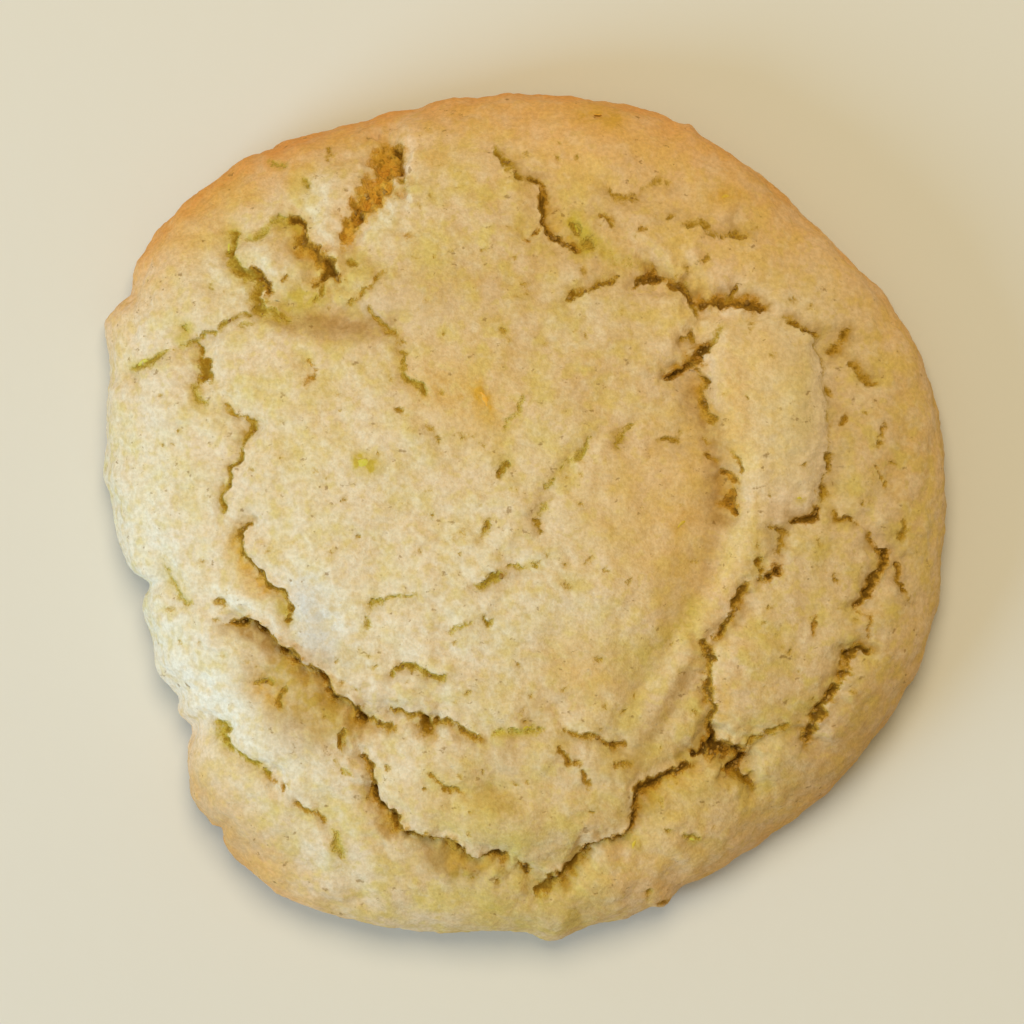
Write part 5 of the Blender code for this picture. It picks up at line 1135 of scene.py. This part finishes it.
def makeBakedDough():
    # The skin's patches, its stains (some of them painted light and shade), the painted highlight along lifted edges
    # and the flecks come first, then the crumb by how torn the crust is (side, core, partly painted shade, and the
    # amber glow), then the sand over all of it. Stains and tear are the mesh's attributes.
    look = doughLook
    material, tree, shader, place = newMaterial("baked lemon shortbread dough")

    def grain(name, stretch=None):
        size, detail = look["patterns"][name]
        source = place
        if stretch:
            source = addNode(tree, "ShaderNodeMapping", None, {"Vector": place, "Scale": stretch}).outputs[0]
        return addNode(tree, "ShaderNodeTexNoise", None, {
            "Vector": source, "Scale": 1 / (size * mm), "Detail": detail,
            "Roughness": look["patternRoughness"]}).outputs["Fac"]

    def ramp(value, low, high, out=(0.0, 1.0)):
        return addNode(tree, "ShaderNodeMapRange", {"interpolation_type": "SMOOTHSTEP"}, {
            "Value": value, "From Min": low, "From Max": high, "To Min": out[0], "To Max": out[1]}).outputs[0]

    def math(operation, a, b=0.0):
        return addNode(tree, "ShaderNodeMath", {"operation": operation}, {0: a, 1: b}).outputs[0]

    def mix(share, a, b, blend="MIX"):
        a, b = (linear(c) if isinstance(c, str) else c for c in (a, b))
        settings = {"data_type": "RGBA", "blend_type": blend, "clamp_factor": True}
        return addNode(tree, "ShaderNodeMix", settings, {0: share, 6: a, 7: b}).outputs[2]

    def attribute(name):
        return addNode(tree, "ShaderNodeAttribute", {"attribute_name": name}).outputs["Fac"]

    noises = {name: grain(name) for name in ("patch", "blotch", "tint", "hue", "sand", "grit")}
    colour = look["skin"]
    for name, low, high, most, tone in look["mottling"]:
        colour = mix(ramp(noises[name], low, high, (0.0, most)), colour, look[tone])
    # each stain's share varies with a noise, so that its edge isn't a plain fade
    for kind, name, least, most in look["stains"]:
        uneven = ramp(noises[name], *look["stainRamp"], (least, most))
        colour = mix(math("MULTIPLY", attribute(kind), uneven), colour, look[kind])
    colour = mix(math("MULTIPLY", attribute("edgeHighlight"), look["highlightShare"]), colour, look["edgeHighlight"])
    # flecks are the tops of a ragged noise
    gate = ramp(grain("gate"), *look["gateRamp"], look["gateLift"])
    fleck = ramp(math("ADD", grain("fleck", look["fleckStretch"]), gate), *look["fleckRamp"])
    colour = mix(math("MULTIPLY", fleck, look["fleckShare"]), colour, look["mark"])
    # the torn crumb, with its edge frayed by a fine noise: tone 0 is olive, 0.5 golden and 1 dark, and its core
    # is darker, partly painted shade deep in the crack
    torn, tone = attribute("torn"), attribute("tone")
    edge = math("MULTIPLY", math("SUBTRACT", grain("fray"), 0.5), look["frayShare"])
    frayed = math("ADD", torn, math("MULTIPLY", edge, ramp(torn, *look["frayRamp"])))
    side, shadedCore = (
        mix(ramp(tone, 0.5, 1.0), mix(ramp(tone, 0.0, 0.5), olive, golden), dark)
        for olive, golden, dark in (look["sides"], look["shadedCores"]))
    colour = mix(ramp(frayed, *look["sideRamp"]), colour, side)
    colour = mix(ramp(frayed, *look["coreRamp"]), colour, shadedCore)
    # where the crumb glows amber it keeps dark pits
    pits = ramp(grain("pit"), *look["pitRamp"], look["pitRange"])
    glow = math("MULTIPLY", math("MULTIPLY", attribute("amber"), ramp(frayed, *look["glowRamp"])), pits)
    colour = mix(glow, colour, look["amber"])
    sand = ramp(noises["sand"], *look["grainRamp"], look["sandRange"])
    grit = ramp(noises["grit"], *look["grainRamp"], look["gritRange"])
    grains = mix(math("ADD", sand, grit), look["sandDark"], look["sandLight"])
    colour = mix(1.0, colour, grains, "MULTIPLY")
    tree.links.new(colour, shader.inputs["Base Color"])
    height = noises["sand"]
    for part, share in (
            (noises["grit"], "gritBump"), (grain("crumple"), "crumpleBump"), (fleck, "fleckBump"),
            (ramp(frayed, *look["tornRamp"]), "tornBump")):
        height = math("ADD", height, math("MULTIPLY", part, look[share]))
    bump = addNode(tree, "ShaderNodeBump", None, {
        "Height": height, "Distance": look["bump"] * mm, "Strength": 1.0})
    tree.links.new(bump.outputs[0], shader.inputs["Normal"])
    shader.inputs["Roughness"].default_value = look["roughness"]
    shader.inputs["Specular IOR Level"].default_value = look["specular"]
    shader.inputs["Subsurface Weight"].default_value = look["scatter"]
    shader.inputs["Subsurface Radius"].default_value = look["scatterReach"]
    shader.inputs["Subsurface Scale"].default_value = look["scatterScale"] * mm
    return material


# Crumbs torn from the dough in the cracks.
crumbForm = {
    "count": 450,
    "size": (0.12, 0.36),  # half across
    "sunk": (-0.6, 0.0),  # how high the middle stands over the crust, in half widths
    "least": 0.6,  # how torn the crust is where they start
    "within": 36.0,  # how far out they lie, clear of the rim
    "smaller": (0.6, 1.0),  # share of that size which a crumb has
    "knocked": (0.72, 1.2), "squashed": (0.7, 1.15),  # the same for each of its corners and each of its axes
    "colours": ("B48C42", "86652A"),
    "patch": (0.7, 2.0), "patchRamp": (0.35, 0.65),  # size and detail of the darker patches, and their ramp
    "bump": 0.1, "roughness": 0.8, "specular": 0.25,
}


def icosahedron():
    # its twelve corners lie on three golden rectangles, and its faces are the twenty nearest triples
    golden = (1 + 5**0.5) / 2
    corners = np.array([
        (-1, golden, 0), (1, golden, 0), (-1, -golden, 0), (1, -golden, 0), (0, -1, golden), (0, 1, golden),
        (0, -1, -golden), (0, 1, -golden), (golden, 0, -1), (golden, 0, 1), (-golden, 0, -1), (-golden, 0, 1)])
    faces = np.array([
        (0, 11, 5), (0, 5, 1), (0, 1, 7), (0, 7, 10), (0, 10, 11), (1, 5, 9), (5, 11, 4), (11, 10, 2), (10, 7, 6),
        (7, 1, 8), (3, 9, 4), (3, 4, 2), (3, 2, 6), (3, 6, 8), (3, 8, 9), (4, 9, 5), (2, 4, 11), (6, 2, 10),
        (8, 6, 7), (9, 8, 1)])
    return corners / np.linalg.norm(corners[0]), faces


def buildCrumbs(crown, normals, torn, material):
    # each crumb is an icosahedron with its corners pushed in and out, turned and squashed at random
    draw = np.random.default_rng(cookieForm["seed"] + 2)
    corners, faces = icosahedron()
    count = crumbForm["count"]
    weight = np.clip(torn - crumbForm["least"], 0, 1) * (np.hypot(*crown[:, :2].T) < crumbForm["within"])
    chosen = draw.choice(len(crown), count, replace=False, p=weight / weight.sum())
    size = draw.uniform(*crumbForm["size"], count) * draw.uniform(*crumbForm["smaller"], count)
    shape = corners[None] * draw.uniform(*crumbForm["knocked"], (count, len(corners), 1))
    shape = shape * draw.uniform(*crumbForm["squashed"], (count, 1, 3))
    turns = np.linalg.qr(draw.normal(size=(count, 3, 3)))[0]
    turns *= np.sign(np.linalg.det(turns))[:, None, None]
    shape = np.einsum("cij,cvj->cvi", turns, shape) * size[:, None, None]
    stand = size * draw.uniform(*crumbForm["sunk"], count)
    points = shape + (crown[chosen] + normals[chosen] * stand[:, None])[:, None]
    allFaces = (faces[None] + len(corners) * np.arange(count)[:, None, None]).reshape(-1, 3)
    mesh = fillMesh("crackCrumbs", points.reshape(-1, 3), allFaces)
    addPiece("crackCrumbs", mesh, material)
    print("crumbs:", len(allFaces), "triangles")


def makeCrumbCrust():
    # the moist inside of the dough, torn by rising: rough and golden, darker where it caught the heat
    material, tree, shader, place = newMaterial("torn golden dough crumb")
    light, dark = (linear(c) for c in crumbForm["colours"])
    size, detail = crumbForm["patch"]
    low, high = crumbForm["patchRamp"]
    spots = addNode(tree, "ShaderNodeTexNoise", None, {
        "Vector": place, "Scale": 1 / (size * mm), "Detail": detail}).outputs["Fac"]
    share = addNode(tree, "ShaderNodeMapRange", None, {"Value": spots, "From Min": low, "From Max": high}).outputs[0]
    colour = addNode(tree, "ShaderNodeMix", {"data_type": "RGBA"}, {0: share, 6: light, 7: dark}).outputs[2]
    tree.links.new(colour, shader.inputs["Base Color"])
    bump = addNode(tree, "ShaderNodeBump", None, {
        "Height": spots, "Distance": crumbForm["bump"] * mm, "Strength": 1.0})
    tree.links.new(bump.outputs[0], shader.inputs["Normal"])
    shader.inputs["Roughness"].default_value = crumbForm["roughness"]
    shader.inputs["Specular IOR Level"].default_value = crumbForm["specular"]
    return material


# Thin ribbons of lemon peel, a little sunk into the crust.
zestForm = {
    "along": 14,  # rings along a shred
    "around": 10,
    "thickness": 0.10,  # half of it, in millimetres
    "sunk": 0.07,  # how far its middle lies under the crust
    "curl": 0.25,  # how far it bends to the side, in half lengths
    "taper": 0.4,  # power of its taper
    "yellow": "C6BE34", "orange": "E6A41E",
    "dust": (0.4, 2.0), "dustRamp": (0.4, 0.7), "dustMost": 0.45,  # dough that dusts it: size and detail, ramp, most
    "bump": 0.06, "roughness": 0.5,
}


def buildZest(crown, normals, material):
    # Each shred is a ribbon with an elliptical section, carried along a bent line on the crust. Its width falls to
    # its two ends as (1 - s^2)^taper, and a pole closes each end. The line follows the crust as a cubic in s.
    along, around = zestForm["along"], zestForm["around"]
    s = np.linspace(-1, 1, along + 2)
    turn = np.linspace(0, 2 * np.pi, around, endpoint=False)
    allPoints, allFaces, allOrange = [], [], []
    for px, py, length, width, heading, orange in zestShreds.values():
        c, n = np.cos(np.radians(heading)), np.sin(np.radians(heading))
        bend = zestForm["curl"] * length / 2 * (1 - s**2)
        x = px + length / 2 * s * c - bend * n
        y = py + length / 2 * s * n + bend * c
        nearest = [np.argmin((crown[:, 0] - a) ** 2 + (crown[:, 1] - b) ** 2) for a, b in zip(x, y)]
        up = normals[nearest].mean(axis=0)
        height = np.polyval(np.polyfit(s, crown[nearest, 2], 3), s)
        line = np.stack([x, y, height], axis=1) - zestForm["sunk"] * up
        across = np.cross(up, np.gradient(line, axis=0))
        across /= np.linalg.norm(across, axis=1)[:, None]
        taper = np.maximum(1 - s**2, 0) ** zestForm["taper"]
        rings = (
            line[1:-1, None]
            + across[1:-1, None] * (width / 2 * taper[1:-1, None] * np.cos(turn))[..., None]
            + up * (zestForm["thickness"] * taper[1:-1, None] * np.sin(turn))[..., None])
        points = np.concatenate([rings.reshape(-1, 3), line[[0, -1]]])
        numbers = np.arange(along * around).reshape(along, around)
        numbers = np.concatenate([numbers, numbers[:, :1]], axis=1)
        quads = gridFaces(numbers)
        first, last = along * around, along * around + 1
        ends = [np.stack([np.full(around, first), numbers[0, 1:], numbers[0, :-1]], axis=1),
                np.stack([np.full(around, last), numbers[-1, :-1], numbers[-1, 1:]], axis=1)]
        faces = np.concatenate([quads[:, [0, 1, 2]], quads[:, [0, 2, 3]], *ends])
        allFaces.append(faces + sum(len(p) for p in allPoints))
        allPoints.append(points)
        allOrange.append(np.full(len(points), orange))
    mesh = fillMesh("zestShreds", np.concatenate(allPoints), np.concatenate(allFaces))
    addValues(mesh, "orange", np.concatenate(allOrange))
    addPiece("zestShreds", mesh, material)
    print("zest:", len(mesh.polygons), "triangles")


def makeZestPeel():
    # grated lemon peel, baked: a waxy yellow skin with fine oil pits, duller where the dough dusts it
    material, tree, shader, place = newMaterial("baked lemon peel gratings")
    orange = addNode(tree, "ShaderNodeAttribute", {"attribute_name": "orange"}).outputs["Fac"]
    colour = addNode(tree, "ShaderNodeMix", {"data_type": "RGBA"}, {
        0: orange, 6: linear(zestForm["yellow"]), 7: linear(zestForm["orange"])}).outputs[2]
    size, detail = zestForm["dust"]
    dust = addNode(tree, "ShaderNodeTexNoise", None, {
        "Vector": place, "Scale": 1 / (size * mm), "Detail": detail}).outputs["Fac"]
    low, high = zestForm["dustRamp"]
    dustShare = addNode(tree, "ShaderNodeMapRange", None, {
        "Value": dust, "From Min": low, "From Max": high, "To Max": zestForm["dustMost"]}).outputs[0]
    colour = addNode(tree, "ShaderNodeMix", {"data_type": "RGBA"}, {
        0: dustShare, 6: colour, 7: linear(doughLook["lemon"])}).outputs[2]
    tree.links.new(colour, shader.inputs["Base Color"])
    bump = addNode(tree, "ShaderNodeBump", None, {
        "Height": dust, "Distance": zestForm["bump"] * mm, "Strength": 1.0})
    tree.links.new(bump.outputs[0], shader.inputs["Normal"])
    shader.inputs["Roughness"].default_value = zestForm["roughness"]
    return material


# The photograph looks straight down; its frame is 102.4 mm wide at the rim's height.
viewForm = {"centre": (-1.3, 0.5), "frame": 102.4, "lens": 400, "sensor": 36, "clip": (0.05, 20)}

# Lights: direction in degrees anticlockwise from +x, height in degrees, distance and size in metres, watts, colour.
lights = {
    "windowSide": (210, 22, 0.9, 0.5, 6.8, "B8DDFF"),
    "overhead": (90, 68, 0.9, 0.5, 4.4, "FFEFCD"),
}
roomGlow = ("FFECBC", 0.40)
floorLook = {"paper": "DAD8D2", "half": 2500.0, "fibre": 3.0, "bump": 0.05, "bumpShare": 0.5, "roughness": 0.9}


def aim(thing, place, target):
    # puts it at the place and turns its -Z towards the target
    thing.location = place
    thing.rotation_mode = "QUATERNION"
    thing.rotation_quaternion = (target - place).to_track_quat("-Z", "Y")


def setStage():
    # the camera over the cookie, a lamp for each of the lights, aimed at its middle, and an even glow round it
    scene = bpy.context.scene
    x, y = (c * mm for c in viewForm["centre"])
    target = Vector((x, y, cookieForm["edgeHeight"] * mm))
    camera = bpy.data.objects.new("camera", bpy.data.cameras.new("camera"))
    camera.data.lens, camera.data.sensor_width = viewForm["lens"], viewForm["sensor"]
    camera.data.clip_start, camera.data.clip_end = viewForm["clip"]
    distance = viewForm["lens"] / viewForm["sensor"] * viewForm["frame"] * mm
    camera.location = target + Vector((0, 0, distance))
    scene.collection.objects.link(camera)
    scene.camera = camera
    for name, (direction, height, distance, size, watts, colour) in lights.items():
        lamp = bpy.data.lights.new(name, "AREA")
        lamp.shape, lamp.size, lamp.energy, lamp.color = "DISK", size, watts, linear(colour)[:3]
        light = bpy.data.objects.new(name, lamp)
        scene.collection.objects.link(light)
        a, h = np.radians(direction), np.radians(height)
        aim(light, Vector((np.cos(a) * np.cos(h), np.sin(a) * np.cos(h), np.sin(h))) * distance, Vector())
    world = bpy.data.worlds.new("room")
    scene.world = world
    world.use_nodes = True
    glow = world.node_tree.nodes["Background"]
    glow.inputs["Color"].default_value, glow.inputs["Strength"].default_value = linear(roomGlow[0]), roomGlow[1]
    scene.view_settings.view_transform = "Standard"


def buildFloor():
    # one square of plain paper under the cookie, too wide for its edge to show
    half = floorLook["half"]
    corners = np.array([(-half, -half, 0), (half, -half, 0), (half, half, 0), (-half, half, 0)])
    mesh = fillMesh("tableTop", corners, np.array([(0, 1, 2, 3)]))
    material, tree, shader, place = newMaterial("plain pale paper")
    fibre = addNode(tree, "ShaderNodeTexNoise", None, {"Vector": place, "Scale": 1 / (floorLook["fibre"] * mm)})
    bump = addNode(tree, "ShaderNodeBump", None, {
        "Height": fibre.outputs["Fac"], "Distance": floorLook["bump"] * mm, "Strength": floorLook["bumpShare"]})
    tree.links.new(bump.outputs[0], shader.inputs["Normal"])
    shader.inputs["Base Color"].default_value = linear(floorLook["paper"])
    shader.inputs["Roughness"].default_value = floorLook["roughness"]
    mesh.materials.append(material)
    floor = bpy.data.objects.new("tableTop", mesh)
    bpy.context.scene.collection.objects.link(floor)


crown, crownNormals, crownLook = buildCookie(makeBakedDough())
buildCrumbs(crown, crownNormals, crownLook["torn"], makeCrumbCrust())
buildZest(crown, crownNormals, makeZestPeel())
buildFloor()
setStage()
print("stage: camera, lights and table are set")

bpy.context.view_layer.update()
